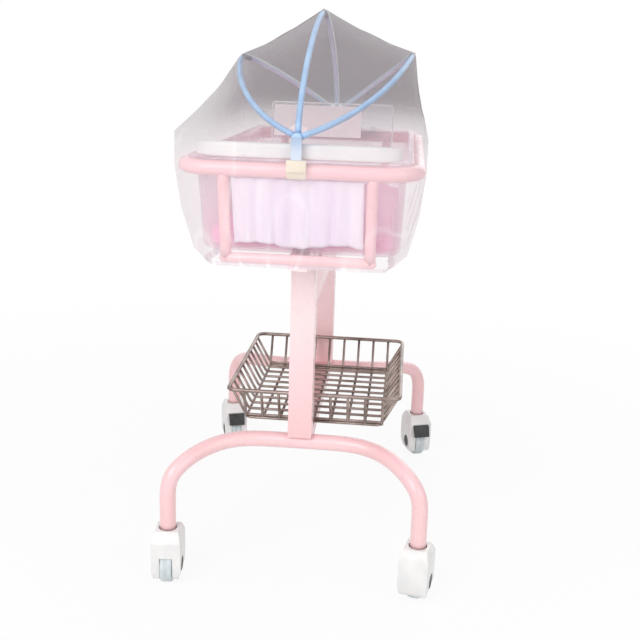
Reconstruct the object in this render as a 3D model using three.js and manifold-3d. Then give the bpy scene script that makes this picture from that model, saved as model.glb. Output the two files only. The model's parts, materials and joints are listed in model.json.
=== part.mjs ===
// Hospital bassinet on casters: a tubular trolley with a wire basket, a clear basin and a net canopy.
// Millimetres, +Z up, +Y towards the head end, origin on the floor under the middle of the trolley.
import * as THREE from 'three';
import { mergeVertices } from 'three/addons/utils/BufferGeometryUtils.js';
import Module from 'manifold-3d';

const wasm = await Module();
wasm.setup();

// Clearances
const FIT = 0.3; // between faces that touch
const CUT_OVERSHOOT = 5; // how far a cutter runs past what it cuts
const CURVE_STEPS = 4; // flats on a drawn curve
const CORNER_STEPS = 4; // flats on a rounded corner

// Chassis
const LEG_SPACING = 500;
const FOOT_REACH = 366; // middle of the trolley to a caster, lengthwise
const COLUMN_REACH = 252; // middle of the trolley to a column
const ARCH_TUBE = 32;
const ARCH_CROWN_HEIGHT = 270;
const ARCH_CROWN_HALF = 30; // straight half length under a column
const ARCH_ROUNDNESS = 3.7; // exponent of the shoulder's curve
const ARCH_SPREAD = 6; // exponent of the legs' way out from the columns
const LEG_STRAIGHT_TOP = 161;
const LEG_END = 109;
const ARCH_SIDES = 10;
const ARCH_STEPS = 8; // rings on one shoulder
const COLUMN_WIDTH = 48;
const COLUMN_DEPTH = 40;
const COLUMN_SADDLE = 2; // how far a column reaches down round its arch
const SPINE_WIDTH = 44;
const SPINE_HEIGHT = 25;
const BEAM_WIDTH = 46;
const BEAM_HEIGHT = 78;
const BEAM_DROP = 42.8; // column's top to the beam's top
const ARM_WIDTH = 36; // arm welded to a column, out to its bottom rail
const ARM_HEIGHT = 24;
const COLUMN_BASIN_GAP = 3;

// Crib frame
const RAIL_TUBE = 27;
const RAIL_HALF_WIDTH = 208;
const RAIL_HALF_LENGTH = 421.5;
const RAIL_HEIGHT = 841;
const RAIL_CORNER = 60;
const RAIL_STUB = 12; // straight length past an end rail's bend
const RAIL_SIDES = 12;
const RAIL_BEND_STEPS = 5;
const POST_TUBE = 20;
const POST_SPACING = 262;
const POST_SIDES = 10;
const BOTTOM_RAIL_TUBE = 20;
const BOTTOM_RAIL_REACH = 385; // middle of the trolley to a bottom rail
const BOTTOM_RAIL_OVERHANG = 12; // past a post's centre
const POST_DROP = 165; // end rail down to its bottom rail

// Wire basket
const BASKET_SHIFT = 20; // its middle sits right of the spine
const BASKET_FLOOR_WIDTH = 290;
const BASKET_COLUMN_GAP = 16;
const BASKET_SIDE_SLOPE = 34; // how far a side wall leans out
const BASKET_END_SLOPE = 30; // how far an end wall leans out
const BASKET_DEPTH = 76;
const BASKET_WIRE = 5;
const BASKET_RIM = 7;
const BASKET_PITCH = 40;
const BASKET_WALL_ROWS = 1;
const BASKET_FLOOR_PITCH = 42;

// Casters
const WHEEL_RADIUS = 37.5;
const WHEEL_SIDES = 20;
const TYRE_WIDTH = 23.5;
const TYRE_THICKNESS = 9.5;
const TYRE_SHOULDER = 3;
const CORE_RIM_WIDTH = 20;
const CORE_HUB_RADIUS = 11;
const CORE_HUB_PROUD = 0.6; // hub past the tyre's side
const AXLE_RADIUS = 4;
const CAP_RADIUS = 15.7;
const CAP_THICKNESS = 2.2;
const CASTER_WIDTH = 58;
const CASTER_REACH = 37; // swivel axis to the housing's front and back
const CASTER_TRAIL = 6;
const WHEEL_GAP = 2; // round the tread
const WHEEL_SIDE_GAP = 0.4; // beside the hub
const HOUSING_TOP = 114;
const HOUSING_SHELF = 94;
const HOUSING_BROW = 62; // lower edge of the front face
const HOUSING_FOOT = 14;
const HOUSING_FOOT_CLOSED = 22.2; // swivel axis to where the foot's closed end starts to round
const HOUSING_FOOT_OPEN = 27.75; // the same at the open end
const HOUSING_FOOT_TAPER = 11.5; // how far a cheek draws in at the floor
const HOUSING_WELL = 18.5; // swivel axis to the wheel well's closed end
const HOUSING_COLLAR_HALF = 22;
const COLLAR_GAP = 2.5; // round the leg tube
const COLLAR_DEPTH = 8;
const STEM_RADIUS = 6.5;
const STEM_FLANGE_RADIUS = 15;
const STEM_UP = 26;
const STEM_DOWN = 13;
const STEM_SIDES = 12;
const FRONT_LEFT_TURN = 185; // degrees, heading of a caster's open end from the head end
const FRONT_RIGHT_TURN = -13;
const REAR_TURN = 200;
const PEDAL_WIDTH = 41;
const PEDAL_BARREL = 3.5;
const PEDAL_HINGE_HEIGHT = 88;
const PEDAL_HINGE_INSET = 1; // behind the housing's front face
const PEDAL_LENGTH = 27;
const PEDAL_KICK = 10; // how far the pedal's toe stands out
const PEDAL_THICKNESS = 5;
const PEDAL_GAP = 1.4; // pedal plate to the housing's open end

// Basin, bumper, mattress and hung cloth
const BASIN_DEPTH = 172;
const BASIN_WALL = 4;
const BASIN_LIP = 5.2;
const BASIN_LIP_OVERHANG = 8; // past the middle of the rail, lengthwise
const BASIN_LIP_SIDE = 8; // short of the middle of the side rail
const BASIN_SIDE_GAP = 4.5;
const BASIN_END_GAP = 2;
const BASIN_SIDE_TAPER = 6;
const BASIN_POST_GAP = 9;
const BASIN_CORNER_TOP = 45;
const BASIN_CORNER_BOTTOM = 40;
const BUMPER_HALF_WIDTH = 180;
const BUMPER_DEPTH = 25;
const BUMPER_HEIGHT = 26.7;
const BUMPER_SETBACK = 1;
const BUMPER_BEVEL = 3;
const BUMPER_BEVEL_STEPS = 2;
const MATTRESS_HEIGHT = 46;
const MATTRESS_CROWN = 7;
const MATTRESS_GAP = 7;
const MATTRESS_WAIST = 9; // how far the sides draw in between the corners
const MATTRESS_CORNER = 34;
const MATTRESS_POINTS = 40;
const MATTRESS_WAIST_POWER = 3; // how sharply the waist fades away from a side
// Rings from the base up: share of the outline, share of the height below the crown
const MATTRESS_LEVELS = [[0.9, 0], [0.98, 0.2], [1, 0.5], [0.98, 0.8], [0.9, 1], [0.6, 1], [0.3, 1]];
const CLOTH_HALF_WIDTH = 117;
const CLOTH_DROP = 124;
const CLOTH_FOLDS = 9;
const CLOTH_FOLD_POINTS = 4;
const CLOTH_ROWS = 3;
const CLOTH_FOLD_TOP = 2.5;
const CLOTH_FOLD_BOTTOM = 6;
const CLOTH_THICKNESS = 1.6;
const CLOTH_HEM_WAVE = 4;
const CLOTH_HEM_BOWS = 3; // half waves along the hem

// Head plate
const PLATE_LEFT = -158;
const PLATE_RIGHT = 148;
const PLATE_RISE = 64; // above the basin's lip
const PLATE_THICKNESS = 4;
const PLATE_SETBACK = 46; // in front of the basin's inner rear edge
const PLATE_HEIGHT = 122;
const HOOK_WIDTH = 16;
const HOOK_SPREAD = 100; // plate's middle to a hook
const HOOK_THICKNESS = 4;
const HOOK_TURN = 4.5; // how far a hook turns down past the lip

// Canopy hubs and bows
const CLAMP_WIDTH = 34;
const CLAMP_WALL = 4;
const CLAMP_FROM = 140; // degrees round the rail from its inner side, over its top
const CLAMP_TO = 228;
const CLAMP_TAB = 8;
const CLAMP_TAB_RISE = 20; // above the rail's centre
const HUB_WIDTH = 18;
const HUB_DEPTH = 14;
const HUB_HEIGHT = 25;
const HUB_EAR = 6;
const HUB_LIP_GAP = 1.5; // hub to the basin's lip
const PIN_RADIUS = 4;
const PIN_HEAD_RADIUS = 6.5;
const PIN_HEAD = 3;
const PIVOT_GAP = 2; // bow eyes above the bumper
const EYE_RADIUS = 9;
const EYE_WIDTH = 11;
const BOW_TUBE = 11;
const BOW_PITCH = 12;
const RIGHT_BOW_RISE = 236;
const BOW_STUB = 14; // straight length out of an eye
const BOW_ROUNDNESS = 1.5;
const LEFT_BOW_LEAN = -52; // degrees from upright
const MIDDLE_BOW_LEAN = 0;
const RIGHT_BOW_LEAN = 52.5;
const BOW_SPLAY = 16.5; // degrees that an outer bow leans more as it nears the front hub
const BOW_SIDES = 8;
const BOW_STEPS = 24;

// Net
const NET_THICKNESS = 1.2;
const NET_TOP_GAP = 0.4; // top panels to their bows
const NET_SIDE_GAP = 0.9; // side panels to their bows
const NET_SAG = 5;
const NET_FAN = 0.35; // how strongly a side panel fans out from its bow's crown
const NET_SKIP = 2; // steps of a bow left bare at each hub
const NET_COLUMNS = 4;
const NET_TOP_EDGE = 1.4; // from the middle of a bow to a top panel's edge
const NET_SIDE_EDGE = 4.5; // the same for a side panel
const NET_SEAM_EDGE = 0.8; // from the seam to a side panel's edge
const NET_END_EDGE = 4; // more of each at a panel's ends
const EQUATOR_RISE = 2; // seam between hood and skirt, above the bow pivots
const SEAM_GAP = 0.8;
const SKIRT_RAIL_GAP = 0.6;
const SKIRT_HUB_GAP = 1.6;
const SKIRT_CORNER = 62;
const SKIRT_WAIST_RISE = 4; // above the basin's underside
const SKIRT_BASIN_GAP = 7;
const SKIRT_POST_GAP = 9;
const SKIRT_HEM_DROP = 18.8; // below the basin's underside
const SKIRT_HEM_GAP = 20;
const SKIRT_HEM_CORNER = 24;
const SKIRT_FOLDS = 12;
const SKIRT_FOLD_DEPTH = 6;
const SKIRT_HEM_FOLD = 0.6; // share of the fold depth at the hem
const SKIRT_MIDDLE_FOLD = 0.7; // the same half way up
const SKIRT_POINTS = 60;

// Places that follow from the sizes
const LEG_X = LEG_SPACING / 2;
const COLUMN_INNER = COLUMN_REACH - COLUMN_DEPTH / 2;
const COLUMN_FOOT = ARCH_CROWN_HEIGHT + ARCH_TUBE / 2 - COLUMN_SADDLE;
const SPINE_TOP = COLUMN_FOOT - FIT;
const CORE_HUB_HALF = TYRE_WIDTH / 2 + CORE_HUB_PROUD;
const PEDAL_HINGE_REACH = CASTER_REACH - PEDAL_HINGE_INSET;
const BOTTOM_RAIL_HEIGHT = RAIL_HEIGHT - POST_DROP;
const POST_SLOPE = (RAIL_HALF_LENGTH - BOTTOM_RAIL_REACH) / POST_DROP;
const POST_HALF_DEPTH = (POST_TUBE / 2) * Math.hypot(1, POST_SLOPE);
const postReach = (height) => BOTTOM_RAIL_REACH + (height - BOTTOM_RAIL_HEIGHT) * POST_SLOPE;
const BASIN_SEAT = RAIL_HEIGHT + RAIL_TUBE / 2 + FIT;
const BASIN_UNDERSIDE = BASIN_SEAT - BASIN_DEPTH;
const BASIN_FLOOR = BASIN_UNDERSIDE + BASIN_WALL;
const COLUMN_TOP = BASIN_UNDERSIDE - COLUMN_BASIN_GAP;
const BEAM_TOP = COLUMN_TOP - BEAM_DROP;
const BASIN_LIP_TOP = BASIN_SEAT + BASIN_LIP;
const PLATE_TOP = BASIN_LIP_TOP + PLATE_RISE;
const BASIN_SIDE = RAIL_HALF_WIDTH - RAIL_TUBE / 2 - BASIN_SIDE_GAP;
const BASIN_END = RAIL_HALF_LENGTH - RAIL_TUBE / 2 - BASIN_END_GAP;
const BASIN_LOW_SIDE = BASIN_SIDE - BASIN_SIDE_TAPER;
const BASIN_LOW_END = postReach(BASIN_UNDERSIDE) - POST_HALF_DEPTH - BASIN_POST_GAP;
const LIP_SIDE = RAIL_HALF_WIDTH - BASIN_LIP_SIDE;
const LIP_END = RAIL_HALF_LENGTH + BASIN_LIP_OVERHANG;
const BUMPER_TOP = BASIN_LIP_TOP + FIT + BUMPER_HEIGHT;
const PIVOT_HEIGHT = BUMPER_TOP + PIVOT_GAP + EYE_RADIUS;
const HUB_BACK = LIP_END + HUB_LIP_GAP;
const HUB_FRONT = HUB_BACK + HUB_DEPTH;
const EAR_BACK = HUB_FRONT - HUB_EAR;
const BOW_END = EAR_BACK - FIT - EYE_WIDTH / 2; // outermost bow's eye, lengthwise
const NET_ROWS = BOW_STEPS - 2 * NET_SKIP;
const EQUATOR = PIVOT_HEIGHT + EQUATOR_RISE;
const SKIRT_HEM_HEIGHT = BASIN_UNDERSIDE - SKIRT_HEM_DROP;
const SKIRT_SIDE = RAIL_HALF_WIDTH + RAIL_TUBE / 2 + SKIRT_RAIL_GAP + NET_THICKNESS / 2;
const SKIRT_END = HUB_FRONT + SKIRT_HUB_GAP + NET_THICKNESS / 2;

// Materials
function finish(color, roughness, metalness = 0) {
  return new THREE.MeshStandardMaterial({ color, roughness, metalness });
}

function sheer(color, roughness, opacity) {
  return new THREE.MeshStandardMaterial({ color, roughness, opacity, transparent: true });
}

const PINK_PAINT = finish(0xf2a9a9, 0.3);
const CHROME_WIRE = finish(0x9c8d86, 0.3, 0.9);
const WHITE_PLASTIC = finish(0xf1f1f0, 0.4);
const BLACK_PLASTIC = finish(0x1c1b1d, 0.5);
const GREY_TREAD = finish(0xc9d4d8, 0.6);
const STEEL = finish(0xb9bbbd, 0.35, 0.9);
const CLEAR_ACRYLIC = sheer(0xe9f0ee, 0.1, 0.35);
const PINK_CLOTH = finish(0xf29ac8, 0.9);
const LILAC_CLOTH = finish(0xe9dcf0, 0.9);
const BLUE_PLASTIC = finish(0x8fb4dd, 0.35);
const AMBER_PLASTIC = finish(0xecdfae, 0.4);
const NET_CLOTH = sheer(0xdcd6de, 0.9, 0.5);

// Solids: joins and cuts of closed meshes
function toSolid(geometry) {
  const bare = geometry.clone();
  bare.deleteAttribute('normal');
  bare.deleteAttribute('uv');
  const merged = mergeVertices(bare);
  const vertProperties = new Float32Array(merged.attributes.position.array);
  const triVerts = new Uint32Array(merged.index.array);
  return new wasm.Manifold(new wasm.Mesh({ numProp: 3, vertProperties, triVerts }));
}

function toGeometry(solid) {
  const mesh = solid.getMesh();
  return indexed(mesh.vertProperties, mesh.triVerts);
}

function indexed(positions, triangles) {
  const geometry = new THREE.BufferGeometry();
  geometry.setAttribute('position', new THREE.Float32BufferAttribute(positions, 3));
  geometry.setIndex(Array.from(triangles));
  geometry.computeVertexNormals();
  return geometry;
}

function join(first, ...others) {
  return toGeometry(others.reduce((solid, other) => solid.add(toSolid(other)), toSolid(first)));
}

function cut(body, ...cutters) {
  return toGeometry(cutters.reduce((solid, cutter) => solid.subtract(toSolid(cutter)), toSolid(body)));
}

function common(first, second) {
  return toGeometry(toSolid(first).intersect(toSolid(second)));
}

// A path that is stepped exactly at its stations
class StationPath extends THREE.Curve {
  constructor(stations) {
    super();
    this.stations = stations;
  }

  getPoint(t, target = new THREE.Vector3()) {
    const last = this.stations.length - 1;
    const place = THREE.MathUtils.clamp(t, 0, 1) * last;
    const index = Math.min(Math.floor(place), last - 1);
    return target.lerpVectors(this.stations[index], this.stations[index + 1], place - index);
  }

  getPointAt(u, target) {
    return this.getPoint(u, target);
  }

  getTangentAt(u, target) {
    return this.getTangent(u, target);
  }
}

function circle(radius, sides) {
  const points = [];
  for (let i = 0; i < sides; i += 1) {
    const angle = ((i + 0.5) / sides) * 2 * Math.PI;
    points.push(new THREE.Vector2(radius * Math.cos(angle), radius * Math.sin(angle)));
  }
  return new THREE.Shape(points);
}

function tube(stations, diameter, sides) {
  const extrudePath = new StationPath(stations);
  return new THREE.ExtrudeGeometry(circle(diameter / 2, sides), { extrudePath, steps: stations.length - 1 });
}

function outline(points) {
  return new THREE.Shape(points.map(([x, y]) => new THREE.Vector2(x, y)));
}

function extrude(shape, depth) {
  return new THREE.ExtrudeGeometry(shape, { depth, bevelEnabled: false, curveSegments: CURVE_STEPS });
}

// A shape drawn in Y and Z, made solid across X between -width/2 and width/2
function acrossX(shape, width) {
  const geometry = extrude(shape, width);
  geometry.translate(0, 0, -width / 2);
  geometry.rotateY(Math.PI / 2);
  geometry.rotateX(Math.PI / 2);
  return geometry;
}

function block(low, high) {
  const geometry = new THREE.BoxGeometry(high[0] - low[0], high[1] - low[1], high[2] - low[2]);
  geometry.translate((low[0] + high[0]) / 2, (low[1] + high[1]) / 2, (low[2] + high[2]) / 2);
  return geometry;
}

function rodX(radius, length, y, z, sides) {
  const geometry = new THREE.CylinderGeometry(radius, radius, length, sides);
  geometry.rotateZ(Math.PI / 2);
  geometry.translate(0, y, z);
  return geometry;
}

function rodY(radius, yLow, yHigh, z, sides) {
  const geometry = new THREE.CylinderGeometry(radius, radius, yHigh - yLow, sides);
  geometry.translate(0, (yLow + yHigh) / 2, 0);
  geometry.translate(0, 0, z);
  return geometry;
}

function rodZ(radius, zLow, zHigh, sides) {
  const geometry = new THREE.CylinderGeometry(radius, radius, zHigh - zLow, sides);
  geometry.rotateX(Math.PI / 2);
  geometry.translate(0, 0, (zLow + zHigh) / 2);
  return geometry;
}

// A turned piece: profile of [radius, height] points, about Z
function turned(profile, sides) {
  const geometry = new THREE.LatheGeometry(profile.map(([r, h]) => new THREE.Vector2(r, h)), sides);
  geometry.rotateX(Math.PI / 2);
  return geometry;
}

// A rounded rectangle, counter-clockwise from the middle of its front side
function roundedPath(halfX, halfY, radius) {
  const path = new THREE.Path();
  const x = halfX - radius;
  const y = halfY - radius;
  path.moveTo(0, -halfY);
  path.lineTo(x, -halfY);
  path.absarc(x, -y, radius, -Math.PI / 2, 0, false);
  path.absarc(x, y, radius, 0, Math.PI / 2, false);
  path.absarc(-x, y, radius, Math.PI / 2, Math.PI, false);
  path.absarc(-x, -y, radius, Math.PI, 1.5 * Math.PI, false);
  path.lineTo(0, -halfY);
  return path;
}

function cornerRing(halfX, halfY, radius, height) {
  const points = [];
  const corners = [[1, -1, -Math.PI / 2], [1, 1, 0], [-1, 1, Math.PI / 2], [-1, -1, Math.PI]];
  for (const [signX, signY, start] of corners) {
    for (let i = 0; i <= CORNER_STEPS; i += 1) {
      const angle = start + ((Math.PI / 2) * i) / CORNER_STEPS;
      const x = signX * (halfX - radius) + radius * Math.cos(angle);
      const y = signY * (halfY - radius) + radius * Math.sin(angle);
      points.push(new THREE.Vector3(x, y, height));
    }
  }
  return points;
}

// Skin over rings of equal point counts, closed by end caps or, for a loop, back to the first ring
function loft(rings, loop = false) {
  const count = rings[0].length;
  const positions = rings.flat().flatMap((p) => [p.x, p.y, p.z]);
  const triangles = [];
  const bands = loop ? rings.length : rings.length - 1;
  for (let i = 0; i < bands; i += 1) {
    const lower = i * count;
    const upper = ((i + 1) % rings.length) * count;
    for (let j = 0; j < count; j += 1) {
      const next = (j + 1) % count;
      triangles.push(lower + j, lower + next, upper + next, lower + j, upper + next, upper + j);
    }
  }
  if (!loop) {
    addCap(rings[0], 0, positions, triangles, true);
    addCap(rings[rings.length - 1], (rings.length - 1) * count, positions, triangles, false);
  }
  return indexed(positions, triangles);
}

function addCap(ring, start, positions, triangles, facesDown) {
  const middle = ring.reduce((sum, p) => sum.add(p), new THREE.Vector3()).divideScalar(ring.length);
  const hub = positions.length / 3;
  positions.push(middle.x, middle.y, middle.z);
  for (let j = 0; j < ring.length; j += 1) {
    const here = start + j;
    const next = start + ((j + 1) % ring.length);
    triangles.push(...(facesDown ? [hub, next, here] : [hub, here, next]));
  }
}

// A thin sheet of even thickness over rows of points; its outer side is rows cross columns
function sheet(rows, thickness) {
  const rowCount = rows.length;
  const count = rows[0].length;
  const positions = [];
  for (let i = 0; i < rowCount; i += 1) {
    for (let j = 0; j < count; j += 1) {
      const offset = sheetNormal(rows, i, j).multiplyScalar(thickness / 2);
      const outer = rows[i][j].clone().add(offset);
      const inner = rows[i][j].clone().sub(offset);
      positions.push(outer.x, outer.y, outer.z, inner.x, inner.y, inner.z);
    }
  }
  const outerAt = (i, j) => (i * count + j) * 2;
  const innerAt = (i, j) => outerAt(i, j) + 1;
  const triangles = [];
  const quad = (a, b, c, d) => triangles.push(a, b, c, a, c, d);
  for (let i = 0; i + 1 < rowCount; i += 1) {
    for (let j = 0; j + 1 < count; j += 1) {
      quad(outerAt(i, j), outerAt(i + 1, j), outerAt(i + 1, j + 1), outerAt(i, j + 1));
      quad(innerAt(i, j), innerAt(i, j + 1), innerAt(i + 1, j + 1), innerAt(i + 1, j));
    }
    quad(outerAt(i, 0), innerAt(i, 0), innerAt(i + 1, 0), outerAt(i + 1, 0));
    quad(outerAt(i, count - 1), outerAt(i + 1, count - 1), innerAt(i + 1, count - 1), innerAt(i, count - 1));
  }
  const end = rowCount - 1;
  for (let j = 0; j + 1 < count; j += 1) {
    quad(outerAt(0, j), outerAt(0, j + 1), innerAt(0, j + 1), innerAt(0, j));
    quad(outerAt(end, j), innerAt(end, j), innerAt(end, j + 1), outerAt(end, j + 1));
  }
  return indexed(positions, triangles);
}

function sheetNormal(rows, i, j) {
  const above = rows[Math.max(i - 1, 0)][j];
  const below = rows[Math.min(i + 1, rows.length - 1)][j];
  const before = rows[i][Math.max(j - 1, 0)];
  const after = rows[i][Math.min(j + 1, rows[i].length - 1)];
  const along = below.clone().sub(above);
  return along.cross(after.clone().sub(before)).normalize();
}

const bassinet = new THREE.Group();

function addMesh(name, geometry, material, parent = bassinet) {
  const mesh = new THREE.Mesh(geometry, material);
  mesh.name = name;
  parent.add(mesh);
  return mesh;
}

// The rear end is the front end turned half round
function endGroup(end) {
  const group = new THREE.Group();
  group.rotation.z = end === 'rear' ? Math.PI : 0;
  bassinet.add(group);
  return group;
}

// Leg arches: a straight crown, a shoulder that drops and spreads outwards, and a straight leg
function archStations() {
  const half = [new THREE.Vector3(0, -COLUMN_REACH, ARCH_CROWN_HEIGHT)];
  const rise = ARCH_CROWN_HEIGHT - LEG_STRAIGHT_TOP;
  for (let i = 0; i <= ARCH_STEPS; i += 1) {
    const angle = (i / ARCH_STEPS) * (Math.PI / 2);
    const across = Math.sin(angle) ** (2 / ARCH_ROUNDNESS);
    const up = Math.max(Math.cos(angle), 0) ** (2 / ARCH_ROUNDNESS);
    const spread = 1 - up ** ARCH_SPREAD;
    const x = ARCH_CROWN_HALF + (LEG_X - ARCH_CROWN_HALF) * across;
    const y = -COLUMN_REACH - (FOOT_REACH - COLUMN_REACH) * spread;
    half.push(new THREE.Vector3(x, y, LEG_STRAIGHT_TOP + rise * up));
  }
  half.push(new THREE.Vector3(LEG_X, -FOOT_REACH, LEG_END));
  const mirrored = half.slice(1).reverse().map((p) => new THREE.Vector3(-p.x, p.y, p.z));
  return [...mirrored, ...half.slice(1)];
}

function archGeometry() {
  const sockets = [-1, 1].map((side) => {
    const socket = rodZ(STEM_RADIUS + FIT, LEG_END - CUT_OVERSHOOT, LEG_END + STEM_UP + FIT, STEM_SIDES);
    socket.translate(side * LEG_X, -FOOT_REACH, 0);
    return socket;
  });
  return cut(tube(archStations(), ARCH_TUBE, ARCH_SIDES), ...sockets);
}

function columnGeometry() {
  const halfWidth = COLUMN_WIDTH / 2;
  const low = [-halfWidth, -COLUMN_REACH - COLUMN_DEPTH / 2, COLUMN_FOOT];
  const body = block(low, [halfWidth, -COLUMN_INNER, COLUMN_TOP]);
  const armLow = [-ARM_WIDTH / 2, -BOTTOM_RAIL_REACH, COLUMN_TOP - ARM_HEIGHT];
  const arm = block(armLow, [ARM_WIDTH / 2, -COLUMN_REACH, COLUMN_TOP]);
  const cutLength = COLUMN_WIDTH + CUT_OVERSHOOT;
  const sides = 2 * ARCH_SIDES;
  const saddle = rodX(ARCH_TUBE / 2 + FIT, cutLength, -COLUMN_REACH, ARCH_CROWN_HEIGHT, sides);
  const cradle = rodX(BOTTOM_RAIL_TUBE / 2 + FIT, cutLength, -BOTTOM_RAIL_REACH, BOTTOM_RAIL_HEIGHT, sides);
  return cut(join(body, arm), saddle, cradle);
}

function lengthwiseBar(width, height, top, end) {
  return block([-width / 2, -end, top - height], [width / 2, end, top]);
}

// The spine runs under the columns' feet and ends against the arches
function spineGeometry() {
  const bar = lengthwiseBar(SPINE_WIDTH, SPINE_HEIGHT, SPINE_TOP, COLUMN_REACH);
  const cutLength = SPINE_WIDTH + CUT_OVERSHOOT;
  const saddles = [-COLUMN_REACH, COLUMN_REACH].map((y) => (
    rodX(ARCH_TUBE / 2 + FIT, cutLength, y, ARCH_CROWN_HEIGHT, 2 * ARCH_SIDES)
  ));
  return cut(bar, ...saddles);
}

function addChassis() {
  for (const end of ['front', 'rear']) {
    const group = endGroup(end);
    addMesh(`${end}_arch`, archGeometry(), PINK_PAINT, group);
    addMesh(`${end}_column`, columnGeometry(), PINK_PAINT, group);
  }
  addMesh('spine', spineGeometry(), PINK_PAINT);
  addMesh('upper_beam', lengthwiseBar(BEAM_WIDTH, BEAM_HEIGHT, BEAM_TOP, COLUMN_INNER - FIT), PINK_PAINT);
}

// Crib frame
function endRailGeometry() {
  const straightX = RAIL_HALF_WIDTH - RAIL_CORNER;
  const straightY = RAIL_HALF_LENGTH - RAIL_CORNER;
  const right = [];
  for (let i = 0; i <= RAIL_BEND_STEPS; i += 1) {
    const angle = (i / RAIL_BEND_STEPS) * (Math.PI / 2);
    const x = straightX + RAIL_CORNER * Math.sin(angle);
    const y = -straightY - RAIL_CORNER * Math.cos(angle);
    right.push(new THREE.Vector3(x, y, RAIL_HEIGHT));
  }
  right.push(new THREE.Vector3(RAIL_HALF_WIDTH, -straightY + RAIL_STUB, RAIL_HEIGHT));
  const left = [...right].reverse().map((p) => new THREE.Vector3(-p.x, p.y, p.z));
  return tube([...left, ...right], RAIL_TUBE, RAIL_SIDES);
}

function sideRailGeometry(side) {
  const end = RAIL_HALF_LENGTH - RAIL_CORNER - RAIL_STUB - FIT;
  const x = side * RAIL_HALF_WIDTH;
  const stations = [new THREE.Vector3(x, -end, RAIL_HEIGHT), new THREE.Vector3(x, end, RAIL_HEIGHT)];
  return tube(stations, RAIL_TUBE, RAIL_SIDES);
}

function postGeometry(side) {
  const x = (side * POST_SPACING) / 2;
  const top = new THREE.Vector3(x, -RAIL_HALF_LENGTH, RAIL_HEIGHT);
  const foot = new THREE.Vector3(x, -BOTTOM_RAIL_REACH, BOTTOM_RAIL_HEIGHT);
  const cutLength = 2 * POST_SPACING;
  const sides = 2 * RAIL_SIDES;
  const topCut = rodX(RAIL_TUBE / 2 + FIT, cutLength, -RAIL_HALF_LENGTH, RAIL_HEIGHT, sides);
  const footCut = rodX(BOTTOM_RAIL_TUBE / 2 + FIT, cutLength, -BOTTOM_RAIL_REACH, BOTTOM_RAIL_HEIGHT, sides);
  return cut(tube([foot, top], POST_TUBE, POST_SIDES), topCut, footCut);
}

function addCribFrame() {
  const railHalf = POST_SPACING / 2 + BOTTOM_RAIL_OVERHANG;
  const railEnd = (x) => new THREE.Vector3(x, -BOTTOM_RAIL_REACH, BOTTOM_RAIL_HEIGHT);
  const railEnds = [railEnd(-railHalf), railEnd(railHalf)];
  for (const end of ['front', 'rear']) {
    const group = endGroup(end);
    const turn = end === 'rear' ? -1 : 1;
    addMesh(`${end}_end_rail`, endRailGeometry(), PINK_PAINT, group);
    addMesh(`${end}_bottom_rail`, tube(railEnds, BOTTOM_RAIL_TUBE, POST_SIDES), PINK_PAINT, group);
    addMesh(`${end}_left_post`, postGeometry(-turn), PINK_PAINT, group);
    addMesh(`${end}_right_post`, postGeometry(turn), PINK_PAINT, group);
  }
  addMesh('left_side_rail', sideRailGeometry(-1), PINK_PAINT);
  addMesh('right_side_rail', sideRailGeometry(1), PINK_PAINT);
}

// Wire basket: flat grilles of square bars. A grille is drawn in u along it and v up it.
function grille(lowWidth, topWidth, height, pitch, rows, topBar) {
  const half = (v) => (lowWidth + ((topWidth - lowWidth) * v) / height) / 2;
  const shape = outline([[-half(0), 0], [half(0), 0], [half(height), height], [-half(height), height]]);
  const columns = Math.max(2, Math.round(lowWidth / pitch));
  const clear = height - BASKET_WIRE - topBar - (rows - 1) * BASKET_WIRE;
  const rowHeight = clear / rows;
  const holes = [];
  for (let row = 0; row < rows; row += 1) {
    const low = BASKET_WIRE + row * (rowHeight + BASKET_WIRE);
    const high = low + rowHeight;
    for (let column = 0; column < columns; column += 1) {
      const u = (v, i) => -half(v) + BASKET_WIRE + ((2 * half(v) - BASKET_WIRE) * i) / columns;
      const left = (v) => u(v, column);
      const right = (v) => u(v, column + 1) - BASKET_WIRE;
      const hole = outline([[left(low), low], [right(low), low], [right(high), high], [left(high), high]]);
      const cutter = extrude(hole, 3 * BASKET_WIRE);
      cutter.translate(0, 0, -BASKET_WIRE);
      holes.push(cutter);
    }
  }
  return cut(extrude(shape, BASKET_WIRE), ...holes);
}

function addBasketWall(name, reach, lowWidth, topWidth, lean, turn) {
  const height = Math.hypot(lean, BASKET_DEPTH);
  const low = lowWidth - 2 * FIT;
  const top = topWidth - 2 * FIT;
  const wall = grille(low, top, height, BASKET_PITCH, BASKET_WALL_ROWS, BASKET_RIM);
  const face = new THREE.Group();
  const tilt = new THREE.Group();
  face.position.set(BASKET_SHIFT, 0, SPINE_TOP + FIT);
  face.rotation.z = turn;
  tilt.position.set(0, -reach - FIT, (BASKET_WIRE * lean) / height);
  tilt.rotation.x = Math.PI / 2 + Math.atan2(lean, BASKET_DEPTH);
  face.add(tilt);
  bassinet.add(face);
  addMesh(name, wall, CHROME_WIRE, tilt);
}

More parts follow.
